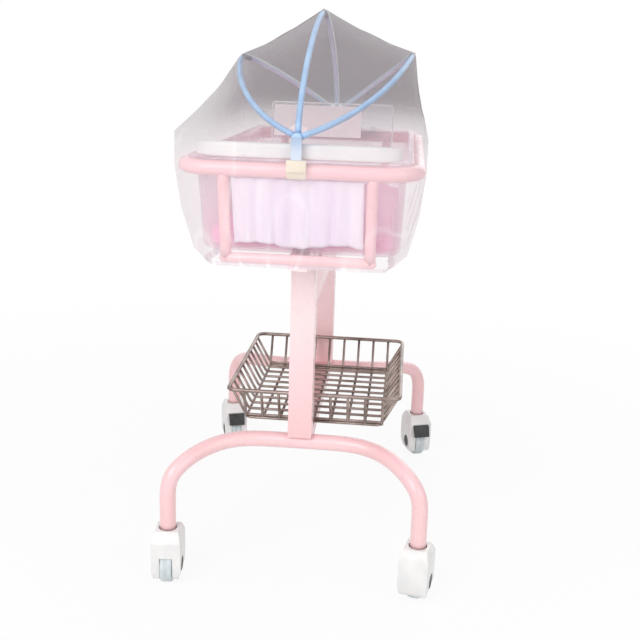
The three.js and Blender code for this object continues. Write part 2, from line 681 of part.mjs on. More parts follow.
function addBasket() {
  const topLength = 2 * (COLUMN_INNER - BASKET_COLUMN_GAP - BASKET_WIRE);
  const floorLength = topLength - 2 * BASKET_END_SLOPE;
  const topWidth = BASKET_FLOOR_WIDTH + 2 * BASKET_SIDE_SLOPE;
  const floorRows = Math.round(floorLength / BASKET_FLOOR_PITCH);
  const width = BASKET_FLOOR_WIDTH;
  const floor = grille(width, width, floorLength, BASKET_FLOOR_PITCH, floorRows, BASKET_WIRE);
  floor.translate(BASKET_SHIFT, -floorLength / 2, SPINE_TOP + FIT);
  addMesh('basket_floor', floor, CHROME_WIRE);
  const endReach = floorLength / 2;
  const sideReach = width / 2;
  addBasketWall('basket_front_wall', endReach, width, topWidth, BASKET_END_SLOPE, 0);
  addBasketWall('basket_rear_wall', endReach, width, topWidth, BASKET_END_SLOPE, Math.PI);
  addBasketWall('basket_left_wall', sideReach, floorLength, topLength, BASKET_SIDE_SLOPE, -Math.PI / 2);
  addBasketWall('basket_right_wall', sideReach, floorLength, topLength, BASKET_SIDE_SLOPE, Math.PI / 2);
}

// Casters: the swivel axis is local Z, the open end faces local +Y
function housingGeometry(hasPedal) {
  const side = new THREE.Shape();
  side.moveTo(-HOUSING_FOOT_CLOSED, HOUSING_FOOT);
  side.lineTo(HOUSING_FOOT_OPEN, HOUSING_FOOT);
  side.quadraticCurveTo(CASTER_REACH, HOUSING_FOOT, CASTER_REACH, WHEEL_RADIUS);
  side.lineTo(CASTER_REACH, HOUSING_SHELF);
  side.lineTo(HOUSING_COLLAR_HALF, HOUSING_TOP);
  side.lineTo(-HOUSING_COLLAR_HALF, HOUSING_TOP);
  side.quadraticCurveTo(-CASTER_REACH, HOUSING_TOP - COLLAR_DEPTH, -CASTER_REACH, HOUSING_BROW);
  side.quadraticCurveTo(-CASTER_REACH, WHEEL_RADIUS / 2, -HOUSING_FOOT_CLOSED, HOUSING_FOOT);
  const front = new THREE.Shape();
  const half = CASTER_WIDTH / 2;
  const footHalf = half - HOUSING_FOOT_TAPER;
  front.moveTo(-footHalf, 0);
  front.lineTo(footHalf, 0);
  front.quadraticCurveTo(half, HOUSING_FOOT, half, WHEEL_RADIUS);
  front.lineTo(half, HOUSING_SHELF);
  front.lineTo(HOUSING_COLLAR_HALF, HOUSING_TOP + CUT_OVERSHOOT);
  front.lineTo(-HOUSING_COLLAR_HALF, HOUSING_TOP + CUT_OVERSHOOT);
  front.lineTo(-half, HOUSING_SHELF);
  front.lineTo(-half, WHEEL_RADIUS);
  front.quadraticCurveTo(-half, HOUSING_FOOT, -footHalf, 0);
  const across = extrude(front, 2 * (CASTER_REACH + CUT_OVERSHOOT));
  across.translate(0, 0, -CASTER_REACH - CUT_OVERSHOOT);
  across.rotateX(Math.PI / 2);
  const body = common(acrossX(side, CASTER_WIDTH), across);

  const slotHalf = CORE_HUB_HALF + WHEEL_SIDE_GAP;
  const wheelSpace = rodX(WHEEL_RADIUS + WHEEL_GAP, 2 * slotHalf, CASTER_TRAIL, WHEEL_RADIUS, WHEEL_SIDES);
  const reach = CASTER_REACH + CUT_OVERSHOOT;
  const mouth = block([-slotHalf, CASTER_TRAIL, 0], [slotHalf, reach, HOUSING_BROW]);
  const underside = block([-slotHalf, -HOUSING_WELL, 0], [slotHalf, reach, WHEEL_RADIUS / 2]);
  const bore = rodX(AXLE_RADIUS + FIT, CASTER_WIDTH + CUT_OVERSHOOT, CASTER_TRAIL, WHEEL_RADIUS, STEM_SIDES);
  const seatStart = CASTER_WIDTH / 2 - CAP_THICKNESS - FIT;
  const seats = [-1, 1].map((sign) => {
    const seat = rodX(CAP_RADIUS + FIT, CUT_OVERSHOOT, CASTER_TRAIL, WHEEL_RADIUS, WHEEL_SIDES);
    seat.translate(sign * (seatStart + CUT_OVERSHOOT / 2), 0, 0);
    return seat;
  });
  const collarFloor = HOUSING_TOP - COLLAR_DEPTH;
  const collar = rodZ(ARCH_TUBE / 2 + COLLAR_GAP, collarFloor, HOUSING_TOP + CUT_OVERSHOOT, STEM_SIDES);
  const stemBore = rodZ(STEM_RADIUS + FIT, collarFloor - STEM_DOWN - FIT, HOUSING_TOP, STEM_SIDES);
  const cutters = [wheelSpace, mouth, underside, bore, ...seats, collar, stemBore];
  if (hasPedal) {
    const length = PEDAL_WIDTH + 2 * FIT;
    cutters.push(rodX(PEDAL_BARREL + FIT, length, PEDAL_HINGE_REACH, PEDAL_HINGE_HEIGHT, STEM_SIDES));
  }
  return cut(body, ...cutters);
}

function stemGeometry() {
  const collarFloor = HOUSING_TOP - COLLAR_DEPTH;
  const low = collarFloor - STEM_DOWN;
  const flangeLow = collarFloor + FIT;
  const flangeTop = LEG_END - FIT;
  const top = LEG_END + STEM_UP;
  const profile = [
    [0, low], [STEM_RADIUS, low], [STEM_RADIUS, flangeLow], [STEM_FLANGE_RADIUS, flangeLow],
    [STEM_FLANGE_RADIUS, flangeTop], [STEM_RADIUS, flangeTop], [STEM_RADIUS, top], [0, top],
  ];
  return turned(profile, STEM_SIDES);
}

// Wheel pieces turn about X through the origin; a flat of the tread faces straight down
function wheelPiece(profile) {
  const geometry = turned(profile, WHEEL_SIDES);
  geometry.rotateZ(Math.PI / WHEEL_SIDES);
  geometry.rotateY(Math.PI / 2);
  return geometry;
}

function tyreGeometry() {
  const flat = 1 / Math.cos(Math.PI / WHEEL_SIDES);
  const outer = WHEEL_RADIUS * flat;
  const inner = outer - TYRE_THICKNESS;
  const half = TYRE_WIDTH / 2;
  const shoulder = half - TYRE_SHOULDER;
  const profile = [
    [inner, -half], [outer - TYRE_SHOULDER, -half], [outer, -shoulder], [outer, shoulder],
    [outer - TYRE_SHOULDER, half], [inner, half], [inner, -half],
  ];
  return wheelPiece(profile);
}

function coreGeometry() {
  const rim = WHEEL_RADIUS / Math.cos(Math.PI / WHEEL_SIDES) - TYRE_THICKNESS - FIT;
  const bore = AXLE_RADIUS + FIT;
  const rimHalf = CORE_RIM_WIDTH / 2;
  const profile = [
    [bore, -CORE_HUB_HALF], [CORE_HUB_RADIUS, -CORE_HUB_HALF], [CORE_HUB_RADIUS, -rimHalf], [rim, -rimHalf],
    [rim, rimHalf], [CORE_HUB_RADIUS, rimHalf], [CORE_HUB_RADIUS, CORE_HUB_HALF], [bore, CORE_HUB_HALF],
    [bore, -CORE_HUB_HALF],
  ];
  return wheelPiece(profile);
}

function axleGeometry() {
  const half = CASTER_WIDTH / 2;
  const inner = half - CAP_THICKNESS;
  const profile = [
    [0, -half], [CAP_RADIUS, -half], [CAP_RADIUS, -inner], [AXLE_RADIUS, -inner],
    [AXLE_RADIUS, inner], [CAP_RADIUS, inner], [CAP_RADIUS, half], [0, half],
  ];
  const geometry = turned(profile, STEM_SIDES);
  geometry.rotateY(Math.PI / 2);
  return geometry;
}

function pedalGeometry() {
  const face = CASTER_REACH + PEDAL_GAP;
  const top = PEDAL_HINGE_HEIGHT + PEDAL_BARREL;
  const toe = PEDAL_HINGE_HEIGHT - PEDAL_LENGTH;
  const half = PEDAL_THICKNESS / 2;
  const kick = face + PEDAL_KICK;
  const side = outline([
    [face, top - FIT], [face + PEDAL_THICKNESS, top - FIT], [kick + half, toe + half],
    [kick, toe], [kick - half, toe + half], [face, PEDAL_HINGE_HEIGHT - PEDAL_BARREL],
  ]);
  const barrel = rodX(PEDAL_BARREL, PEDAL_WIDTH, PEDAL_HINGE_REACH, PEDAL_HINGE_HEIGHT, STEM_SIDES);
  return join(acrossX(side, PEDAL_WIDTH), barrel);
}

function addCaster(name, x, y, turnDegrees, hasPedal) {
  const caster = new THREE.Group();
  caster.position.set(x, y, 0);
  caster.rotation.z = THREE.MathUtils.degToRad(turnDegrees);
  bassinet.add(caster);
  const wheel = new THREE.Group();
  wheel.position.set(0, CASTER_TRAIL, WHEEL_RADIUS);
  caster.add(wheel);
  addMesh(`${name}_caster_stem`, stemGeometry(), STEEL, caster);
  addMesh(`${name}_caster_housing`, housingGeometry(hasPedal), WHITE_PLASTIC, caster);
  addMesh(`${name}_wheel_core`, coreGeometry(), WHITE_PLASTIC, wheel);
  addMesh(`${name}_tyre`, tyreGeometry(), GREY_TREAD, wheel);
  addMesh(`${name}_axle`, axleGeometry(), BLACK_PLASTIC, wheel);
  if (hasPedal) {
    addMesh(`${name}_brake_pedal`, pedalGeometry(), BLACK_PLASTIC, caster);
  }
}

function addCasters() {
  addCaster('front_left', -LEG_X, -FOOT_REACH, FRONT_LEFT_TURN, false);
  addCaster('front_right', LEG_X, -FOOT_REACH, FRONT_RIGHT_TURN, false);
  addCaster('rear_left', -LEG_X, FOOT_REACH, REAR_TURN, true);
  addCaster('rear_right', LEG_X, FOOT_REACH, REAR_TURN, true);
}

// Basin: up the outer wall, round the lip and down the inner wall
function basinGeometry() {
  const wall = BASIN_WALL;
  return loft([
    cornerRing(BASIN_LOW_SIDE, BASIN_LOW_END, BASIN_CORNER_BOTTOM, BASIN_UNDERSIDE),
    cornerRing(BASIN_SIDE, BASIN_END, BASIN_CORNER_TOP, BASIN_SEAT),
    cornerRing(LIP_SIDE, LIP_END, BASIN_CORNER_TOP + BASIN_WALL, BASIN_SEAT),
    cornerRing(LIP_SIDE, LIP_END, BASIN_CORNER_TOP + BASIN_WALL, BASIN_LIP_TOP),
    cornerRing(BASIN_SIDE - wall, BASIN_END - wall, BASIN_CORNER_TOP - wall, BASIN_LIP_TOP),
    cornerRing(BASIN_LOW_SIDE - wall, BASIN_LOW_END - wall, BASIN_CORNER_BOTTOM - wall, BASIN_FLOOR),
  ]);
}

function bumperGeometry() {
  const front = LIP_END - BUMPER_SETBACK;
  const radius = BASIN_CORNER_TOP;
  const shape = new THREE.Shape();
  const bevel = BUMPER_BEVEL;
  const half = BUMPER_HALF_WIDTH - bevel;
  const outer = front - bevel;
  const inner = front - BUMPER_DEPTH + bevel;
  shape.moveTo(-half, -inner);
  shape.quadraticCurveTo(-half, -outer, -half + radius, -outer);
  shape.lineTo(half - radius, -outer);
  shape.quadraticCurveTo(half, -outer, half, -inner);
  const geometry = new THREE.ExtrudeGeometry(shape, {
    depth: BUMPER_HEIGHT - 2 * bevel,
    bevelSize: bevel,
    bevelThickness: bevel,
    bevelSegments: BUMPER_BEVEL_STEPS,
    curveSegments: CURVE_STEPS,
  });
  geometry.translate(0, 0, BASIN_LIP_TOP + FIT + bevel);
  return geometry;
}

// Mattress: crowned top, sides drawn in between the corners
function mattressGeometry() {
  const halfX = BASIN_LOW_SIDE - BASIN_WALL - MATTRESS_GAP;
  const halfY = BASIN_LOW_END - BASIN_WALL - MATTRESS_GAP;
  const base = BASIN_FLOOR + FIT;
  const path = roundedPath(halfX, halfY, MATTRESS_CORNER);
  const points = MATTRESS_POINTS;
  const rings = MATTRESS_LEVELS.map(([share, height]) => {
    const ring = [];
    for (let j = 0; j < points; j += 1) {
      const p = path.getPoint(j / points);
      const drawX = Math.cos((Math.PI / 2) * (p.y / halfY)) * Math.abs(p.x / halfX) ** MATTRESS_WAIST_POWER;
      const drawY = Math.cos((Math.PI / 2) * (p.x / halfX)) * Math.abs(p.y / halfY) ** MATTRESS_WAIST_POWER;
      const x = (p.x - Math.sign(p.x) * MATTRESS_WAIST * drawX) * share;
      const y = (p.y - Math.sign(p.y) * MATTRESS_WAIST * drawY) * share;
      const crown = height === 1 ? MATTRESS_CROWN * (1 - share ** 2) : 0;
      ring.push(new THREE.Vector3(x, y, base + (MATTRESS_HEIGHT - MATTRESS_CROWN) * height + crown));
    }
    return ring;
  });
  return loft(rings);
}

// Pleated cloth hung under the front end rail, in the plane of the posts
function clothGeometry() {
  const top = RAIL_HEIGHT - RAIL_TUBE / 2 - FIT;
  const rows = [];
  const rowCount = CLOTH_ROWS;
  const points = CLOTH_FOLDS * CLOTH_FOLD_POINTS;
  for (let i = 0; i <= rowCount; i += 1) {
    const down = i / rowCount;
    const depth = CLOTH_FOLD_TOP + (CLOTH_FOLD_BOTTOM - CLOTH_FOLD_TOP) * down;
    const row = [];
    for (let j = 0; j <= points; j += 1) {
      const along = j / points;
      const fold = Math.sin(along * CLOTH_FOLDS * 2 * Math.PI);
      const wave = CLOTH_HEM_WAVE * down * Math.sin(along * Math.PI * CLOTH_HEM_BOWS);
      const x = CLOTH_HALF_WIDTH * (2 * along - 1);
      const height = top - CLOTH_DROP * down + wave;
      row.push(new THREE.Vector3(x, -postReach(height) + depth * fold, height));
    }
    rows.push(row);
  }
  return sheet(rows, CLOTH_THICKNESS);
}

// Clear head plate inside the rear of the basin, on two hooks over its lip
function headPlateGeometry() {
  const back = BASIN_END - BASIN_WALL - PLATE_SETBACK;
  const plateLow = [PLATE_LEFT, back - PLATE_THICKNESS, PLATE_TOP - PLATE_HEIGHT];
  const plate = block(plateLow, [PLATE_RIGHT, back, PLATE_TOP]);
  const seat = BASIN_LIP_TOP + FIT;
  const hookTop = seat + HOOK_THICKNESS;
  const hookStart = back - PLATE_THICKNESS / 2;
  const hookEnd = LIP_END + FIT;
  const hookOuter = hookEnd + HOOK_THICKNESS;
  const turnedDown = seat - HOOK_TURN;
  const hooks = [-1, 1].map((side) => {
    const middle = (PLATE_LEFT + PLATE_RIGHT) / 2 + side * HOOK_SPREAD;
    const shape = outline([
      [hookStart, seat], [hookEnd, seat], [hookEnd, turnedDown], [hookOuter, turnedDown],
      [hookOuter, hookTop], [hookStart, hookTop],
    ]);
    const hook = acrossX(shape, HOOK_WIDTH);
    hook.translate(middle, 0, 0);
    return hook;
  });
  return join(plate, ...hooks);
}

function addBedding() {
  addMesh('basin', basinGeometry(), CLEAR_ACRYLIC);
  addMesh('foot_bumper', bumperGeometry(), WHITE_PLASTIC);
  addMesh('mattress', mattressGeometry(), PINK_CLOTH);
  addMesh('end_cloth', clothGeometry(), LILAC_CLOTH);
  addMesh('head_plate', headPlateGeometry(), CLEAR_ACRYLIC);
}

// Clamp round the front of an end rail, with a tab in front that carries the hub
function clampGeometry() {
  const inner = RAIL_TUBE / 2 + FIT;
  const outer = inner + CLAMP_WALL;
  const from = THREE.MathUtils.degToRad(CLAMP_FROM);
  const to = THREE.MathUtils.degToRad(CLAMP_TO);
  const shape = new THREE.Shape();
  shape.absarc(-RAIL_HALF_LENGTH, RAIL_HEIGHT, outer, from, to, false);
  shape.absarc(-RAIL_HALF_LENGTH, RAIL_HEIGHT, inner, to, from, true);
  const ring = acrossX(shape, CLAMP_WIDTH);
  const half = CLAMP_WIDTH / 2;
  const tabLow = [-half, -HUB_FRONT, RAIL_HEIGHT];
  const tab = block(tabLow, [half, -HUB_FRONT + CLAMP_TAB, RAIL_HEIGHT + CLAMP_TAB_RISE]);
  return join(ring, tab);
}

function hubGeometry() {
  const half = HUB_WIDTH / 2;
  const seat = RAIL_HEIGHT + CLAMP_TAB_RISE + FIT;
  const body = block([-half, -HUB_FRONT, seat], [half, -HUB_BACK, seat + HUB_HEIGHT]);
  const earShape = new THREE.Shape();
  earShape.moveTo(-half, seat);
  earShape.lineTo(half, seat);
  earShape.absarc(0, PIVOT_HEIGHT, half, 0, Math.PI, false);
  const ear = extrude(earShape, HUB_EAR);
  ear.rotateX(Math.PI / 2);
  ear.translate(0, -EAR_BACK, 0);
  const innerEye = BOW_END - 2 * BOW_PITCH - EYE_WIDTH / 2;
  const headFront = innerEye - FIT;
  const pin = rodY(PIN_RADIUS, -EAR_BACK - HUB_EAR / 2, -headFront + PIN_HEAD / 2, PIVOT_HEIGHT, STEM_SIDES);
  const head = rodY(PIN_HEAD_RADIUS, -headFront, -headFront + PIN_HEAD, PIVOT_HEIGHT, STEM_SIDES);
  return join(body, ear, pin, head);
}

// Bows: nested hoops through the pivot axis, leaning from upright; the outer two splay at the front
const BOWS = {
  left: { lean: LEFT_BOW_LEAN, inset: 2 * BOW_PITCH },
  middle: { lean: MIDDLE_BOW_LEAN, inset: BOW_PITCH },
  right: { lean: RIGHT_BOW_LEAN, inset: 0 },
};

function bowPoint({ lean, inset }, share) {
  const angle = share * Math.PI;
  const power = 2 / BOW_ROUNDNESS;
  const along = Math.cos(angle);
  const y = -(BOW_END - inset) * Math.sign(along) * Math.abs(along) ** power;
  const rise = BOW_STUB + (RIGHT_BOW_RISE - inset - BOW_STUB) * Math.max(Math.sin(angle), 0) ** power;
  const splay = Math.sign(lean) * BOW_SPLAY * Math.max(along, 0) ** 2;
  const tilt = THREE.MathUtils.degToRad(lean + splay);
  return new THREE.Vector3(rise * Math.sin(tilt), y, PIVOT_HEIGHT + rise * Math.cos(tilt));
}

function bowGeometry(bow) {
  const end = BOW_END - bow.inset;
  const stations = [new THREE.Vector3(0, -end, PIVOT_HEIGHT)];
  for (let i = 0; i <= BOW_STEPS; i += 1) {
    stations.push(bowPoint(bow, i / BOW_STEPS));
  }
  stations.push(new THREE.Vector3(0, end, PIVOT_HEIGHT));
  const rod = (radius, reach, y) => rodY(radius, y - reach, y + reach, PIVOT_HEIGHT, STEM_SIDES);
  const rods = (radius, reach) => [rod(radius, reach, -end), rod(radius, reach, end)];
  const hoop = join(tube(stations, BOW_TUBE, BOW_SIDES), ...rods(EYE_RADIUS, EYE_WIDTH / 2));
  return cut(hoop, ...rods(PIN_RADIUS + FIT, EYE_WIDTH));
}

function addCanopyFrame() {
  for (const end of ['front', 'rear']) {
    const group = endGroup(end);
    addMesh(`${end}_rail_clamp`, clampGeometry(), AMBER_PLASTIC, group);
    addMesh(`${end}_pivot_hub`, hubGeometry(), BLUE_PLASTIC, group);
  }
  for (const [name, bow] of Object.entries(BOWS)) {
    addMesh(`${name}_bow`, bowGeometry(bow), BLUE_PLASTIC);
  }
}

// Net panels run over the bows or from a bow to the seam at the skirt
function seamPoint(side, share) {
  const path = roundedPath(SKIRT_SIDE, SKIRT_END, SKIRT_CORNER);
  const p = path.getPoint(side > 0 ? share / 2 : 1 - share / 2);
  return new THREE.Vector3(p.x, p.y, EQUATOR);
}

// A taut side panel fans out: the crown of its bow holds the whole side, the rest of it the corners
function seamShare(share) {
  const fromCrown = 2 * share - 1;
  return (1 + Math.sign(fromCrown) * Math.abs(fromCrown) ** NET_FAN) / 2;
}

// A panel between two edges, each with its line, its gap outside that line and its edge strip left bare
function panelGeometry(start, end) {
  const chords = [];
  for (let i = 0; i <= NET_ROWS; i += 1) {
    const share = (NET_SKIP + i) / BOW_STEPS;
    const from = start.at(share);
    const to = end.at(share);
    const length = from.distanceTo(to);
    const bare = NET_END_EDGE * (1 - Math.sin((Math.PI * i) / NET_ROWS)) ** 2;
    const first = (start.edge + bare) / length;
    const last = 1 - (end.edge + bare) / length;
    const row = [];
    for (let j = 0; j <= NET_COLUMNS; j += 1) {
      const across = first + ((last - first) * j) / NET_COLUMNS;
      row.push(new THREE.Vector3().lerpVectors(from, to, across));
    }
    chords.push(row);
  }
  const rows = chords.map((row, i) => row.map((point, j) => {
    const across = j / NET_COLUMNS;
    const gap = start.gap + (end.gap - start.gap) * across;
    const sag = NET_SAG * Math.sin(Math.PI * across) * Math.sin((Math.PI * i) / NET_ROWS);
    return point.clone().addScaledVector(sheetNormal(chords, i, j), sag - gap);
  }));
  return sheet(rows, NET_THICKNESS);
}

function addNet() {
  const overBow = BOW_TUBE / 2 + NET_THICKNESS / 2;
  const onBow = (name) => (share) => bowPoint(BOWS[name], share);
  const onSeam = (sign) => (share) => seamPoint(sign, seamShare(share));
  const top = (name) => ({ at: onBow(name), gap: overBow + NET_TOP_GAP, edge: NET_TOP_EDGE });
  const side = (name) => ({ at: onBow(name), gap: overBow + NET_SIDE_GAP, edge: NET_SIDE_EDGE });
  const seam = (sign) => ({ at: onSeam(sign), gap: 0, edge: NET_SEAM_EDGE });
  addMesh('net_left_side', panelGeometry(seam(-1), side('left')), NET_CLOTH);
  addMesh('net_left_top', panelGeometry(top('left'), top('middle')), NET_CLOTH);
  addMesh('net_right_top', panelGeometry(top('middle'), top('right')), NET_CLOTH);
  addMesh('net_right_side', panelGeometry(side('right'), seam(1)), NET_CLOTH);
  addMesh('net_skirt', skirtGeometry(), NET_CLOTH);
}

// Skirt: hangs from the seam over the rails, draws in under the basin, with folds that deepen downwards
function skirtGeometry() {
  const waist = BASIN_UNDERSIDE + SKIRT_WAIST_RISE;
  const endAt = (height) => postReach(height) + POST_HALF_DEPTH + SKIRT_POST_GAP;
  const middle = (waist + RAIL_HEIGHT) / 2;
  const hemSide = POST_SPACING / 2 + POST_TUBE / 2 + SKIRT_HEM_GAP;
  const waistSide = BASIN_LOW_SIDE + SKIRT_BASIN_GAP;
  const middleSide = (waistSide + SKIRT_SIDE) / 2 + SKIRT_FOLD_DEPTH;
  const middleEnd = endAt(middle) + SKIRT_FOLD_DEPTH;
  const corner = SKIRT_CORNER;
  const hem = { side: hemSide, end: endAt(SKIRT_HEM_HEIGHT), corner: SKIRT_HEM_CORNER };
  const levels = [
    { ...hem, height: SKIRT_HEM_HEIGHT, fold: SKIRT_HEM_FOLD },
    { height: waist, side: waistSide, end: endAt(waist), corner, fold: 1 },
    { height: middle, side: middleSide, end: middleEnd, corner, fold: SKIRT_MIDDLE_FOLD },
    { height: RAIL_HEIGHT, side: SKIRT_SIDE, end: SKIRT_END, corner, fold: 0 },
    { height: EQUATOR - SEAM_GAP, side: SKIRT_SIDE, end: SKIRT_END, corner, fold: 0 },
  ];
  const ringAt = ({ height, side, end, corner: radius, fold }, offset) => {
    const path = roundedPath(side + offset, end + offset, radius + offset);
    const ring = [];
    for (let j = 0; j < SKIRT_POINTS; j += 1) {
      const share = j / SKIRT_POINTS;
      const p = path.getPoint(share);
      const tangent = path.getTangent(share);
      const swell = (1 + Math.cos(share * SKIRT_FOLDS * 2 * Math.PI)) / 2;
      const push = SKIRT_FOLD_DEPTH * fold * swell;
      ring.push(new THREE.Vector3(p.x + tangent.y * push, p.y - tangent.x * push, height));
    }
    return ring;
  };
  const outer = levels.map((level) => ringAt(level, NET_THICKNESS / 2));
  const inner = levels.map((level) => ringAt(level, -NET_THICKNESS / 2)).reverse();
  return loft([...outer, ...inner], true);
}

addChassis();
addCribFrame();
addBasket();
addCasters();
addBedding();
addCanopyFrame();
addNet();

export default bassinet;
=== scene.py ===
"""Looks of the hospital bassinet: finishes, smooth tubes, wire basket, bedding and net canopy."""
import json
import math

import bmesh
import bpy
import numpy as np
from mathutils import Matrix, Vector
from mathutils.bvhtree import BVHTree


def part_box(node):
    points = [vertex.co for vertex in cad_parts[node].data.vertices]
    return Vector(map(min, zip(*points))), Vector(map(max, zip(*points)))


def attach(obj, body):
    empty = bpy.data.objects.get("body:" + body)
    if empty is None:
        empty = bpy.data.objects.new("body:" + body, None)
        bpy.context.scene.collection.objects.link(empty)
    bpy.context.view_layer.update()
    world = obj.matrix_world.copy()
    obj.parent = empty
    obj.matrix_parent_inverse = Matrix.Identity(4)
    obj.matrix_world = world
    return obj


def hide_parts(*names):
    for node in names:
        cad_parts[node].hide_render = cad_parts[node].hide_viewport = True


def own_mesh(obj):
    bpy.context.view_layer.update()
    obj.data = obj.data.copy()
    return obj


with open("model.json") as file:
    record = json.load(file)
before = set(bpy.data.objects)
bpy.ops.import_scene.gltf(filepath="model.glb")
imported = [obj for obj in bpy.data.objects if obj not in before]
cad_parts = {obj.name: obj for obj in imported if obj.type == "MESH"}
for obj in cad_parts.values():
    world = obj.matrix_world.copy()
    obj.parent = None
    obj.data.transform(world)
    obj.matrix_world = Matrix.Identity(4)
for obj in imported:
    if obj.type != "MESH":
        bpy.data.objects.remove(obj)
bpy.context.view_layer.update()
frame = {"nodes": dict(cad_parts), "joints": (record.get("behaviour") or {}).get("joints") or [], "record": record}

NODES = frame["nodes"]
BODY_OF = {node: body for body, nodes in frame["record"]["behaviour"]["bodies"].items() for node in nodes}
CASTERS = ("front_left", "front_right", "rear_left", "rear_right")
BRAKED_CASTERS = ("rear_left", "rear_right")
ENDS = {"front": -1.0, "rear": 1.0}

# Camera, fitted to the photograph's 640 by 640 frame
CAMERA_PLACE = (0.1892, -2.0501, 1.0292)
CAMERA_YAW = 0.0867
CAMERA_PITCH = -0.2698
CAMERA_ROLL = 0.0321
CAMERA_LENS = 53.14
CAMERA_SENSOR = 36.0

# Chassis and crib frame, in metres
LEG_X = 0.250
FOOT_REACH = 0.366
COLUMN_REACH = 0.252
ARCH_RADIUS = 0.016
ARCH_CROWN = 0.270
ARCH_CROWN_HALF = 0.030
ARCH_ROUNDNESS = 3.7
ARCH_SPREAD = 6.0
ARCH_STEPS = 60
LEG_STRAIGHT_TOP = 0.161
LEG_STEPS = 4
BOX_TUBE_EDGE = 0.003
RAIL_RADIUS = 0.0135
RAIL_HALF_WIDTH = 0.208
RAIL_HALF_LENGTH = 0.4215
RAIL_HEIGHT = 0.841
RAIL_CORNER = 0.060
POST_RADIUS = 0.010
POST_X = 0.131
POST_STEPS = 8
BOTTOM_RAIL_REACH = 0.385
BOTTOM_RAIL_HEIGHT = 0.676

# Canopy
PIVOT = 0.898
BOW_RADIUS = 0.0055
BOW_STUB = 0.014
BOW_FOOT = 0.43  # of the stub, where the rod starts inside its eye
BOW_ROUNDNESS = 1.5
BOW_END = 0.4332
BOW_RISE = 0.236
BOW_INSET = {"left": 0.024, "middle": 0.012, "right": 0.0}
BOW_LEAN = {"left": math.radians(-52), "middle": 0.0, "right": math.radians(52.5)}
BOW_SPLAY = math.radians(16.5)
BOW_STEPS = 121
NET_LIFT = 0.0018
NET_SAG = 0.006
NET_SAG_TO = PIVOT - 0.1  # height of the line that it sags towards
NET_FROM = 0.03  # of a bow's length, where the top panels start
SEAM = 0.900
SEAM_HALF = (0.2225, 0.4473)
SEAM_CORNER = 0.062

# Mesh helpers
SWEEP_START = (0.31, 0.47, 0.83)  # any direction that no tube starts along
ROD_TIP = 0.05
WELD = 1e-5
FLAT_ANGLE = math.radians(1.5)
SHARP_ANGLE = math.radians(32)
BEND_STEPS = 6


def unit(rows):
    rows = np.asarray(rows, float)
    return rows / np.linalg.norm(rows, axis=-1, keepdims=True)


def full_turn(count):
    return np.linspace(0, 2 * math.pi, count, endpoint=False)


def quads(table):
    """Faces between neighbours in a table of vertex numbers."""
    corners = (table[:-1, :-1], table[:-1, 1:], table[1:, 1:], table[1:, :-1])
    return np.stack(corners, axis=2).reshape(-1, 4).tolist()


def grid_faces(rows, columns):
    return quads(np.arange(rows * columns).reshape(rows, columns))


def ring_faces(rings, count, loop=False):
    """Faces between neighbouring rings of count points; a loop joins the last ring to the first."""
    table = np.arange(rings * count).reshape(rings, count)
    return quads(np.pad(table, ((0, int(loop)), (0, 1)), mode="wrap"))


def loft(rings, loop=False):
    """A skin over rings of equal counts, capped at both ends or closed into a loop."""
    count = len(rings[0])
    verts = [point for ring in rings for point in ring]
    faces = ring_faces(len(rings), count, loop)
    if not loop:
        faces.append(tuple(range(count - 1, -1, -1)))
        faces.append(tuple(range(len(verts) - count, len(verts))))
    return verts, faces


def sweep(points, radius, sides=24, closed=False):
    """A round tube along points; radius may change from point to point."""
    points = np.asarray(points, float)
    if closed:
        tangents = unit(np.roll(points, -1, 0) - np.roll(points, 1, 0))
    else:
        tangents = unit(np.gradient(points, axis=0))
    angles = full_turn(sides)
    side = np.cross(tangents[0], SWEEP_START)
    rings = []
    for point, tangent, reach in zip(points, tangents, np.broadcast_to(radius, len(points))):
        side = unit(side - tangent * np.dot(side, tangent))
        other = np.cross(tangent, side)
        rings.append(point + reach * (np.outer(np.cos(angles), side) + np.outer(np.sin(angles), other)))
    return loft(rings, closed)


def rounded_rod(start, end, radius):
    """A straight rod with domed ends, no longer than from start to end."""
    start, end = np.asarray(start, float), np.asarray(end, float)
    direction = unit(end - start)
    bends = np.linspace(0, math.pi / 2, BEND_STEPS)
    depths = radius * (1 - np.sin(bends))
    radii = np.maximum(radius * np.cos(bends[::-1]), radius * ROD_TIP)
    low = [start + direction * depth for depth in depths[::-1]]
    high = [end - direction * depth for depth in depths]
    return sweep(low + high, np.concatenate([radii, radii[::-1]]))


def lathe(profile, sides=48):
    """A ring of the closed profile of (radius, height) points, about Z."""
    rings = []
    for angle in full_turn(sides):
        c, s = math.cos(angle), math.sin(angle)
        rings.append([(radius * c, radius * s, height) for radius, height in profile])
    return loft(rings, loop=True)


def mirrored(profile):
    """A half profile and its mirror image at the other side of height zero."""
    return [*profile, *((radius, -height) for radius, height in reversed(profile))]


def moved(part, matrix):
    verts, faces = part
    return [matrix @ Vector(vert) for vert in verts], faces


def joined(parts):
    verts, faces = [], []
    for part_verts, part_faces in parts:
        start = len(verts)
        verts.extend(part_verts)
        faces.extend([tuple(i + start for i in face) for face in part_faces])
    return verts, faces


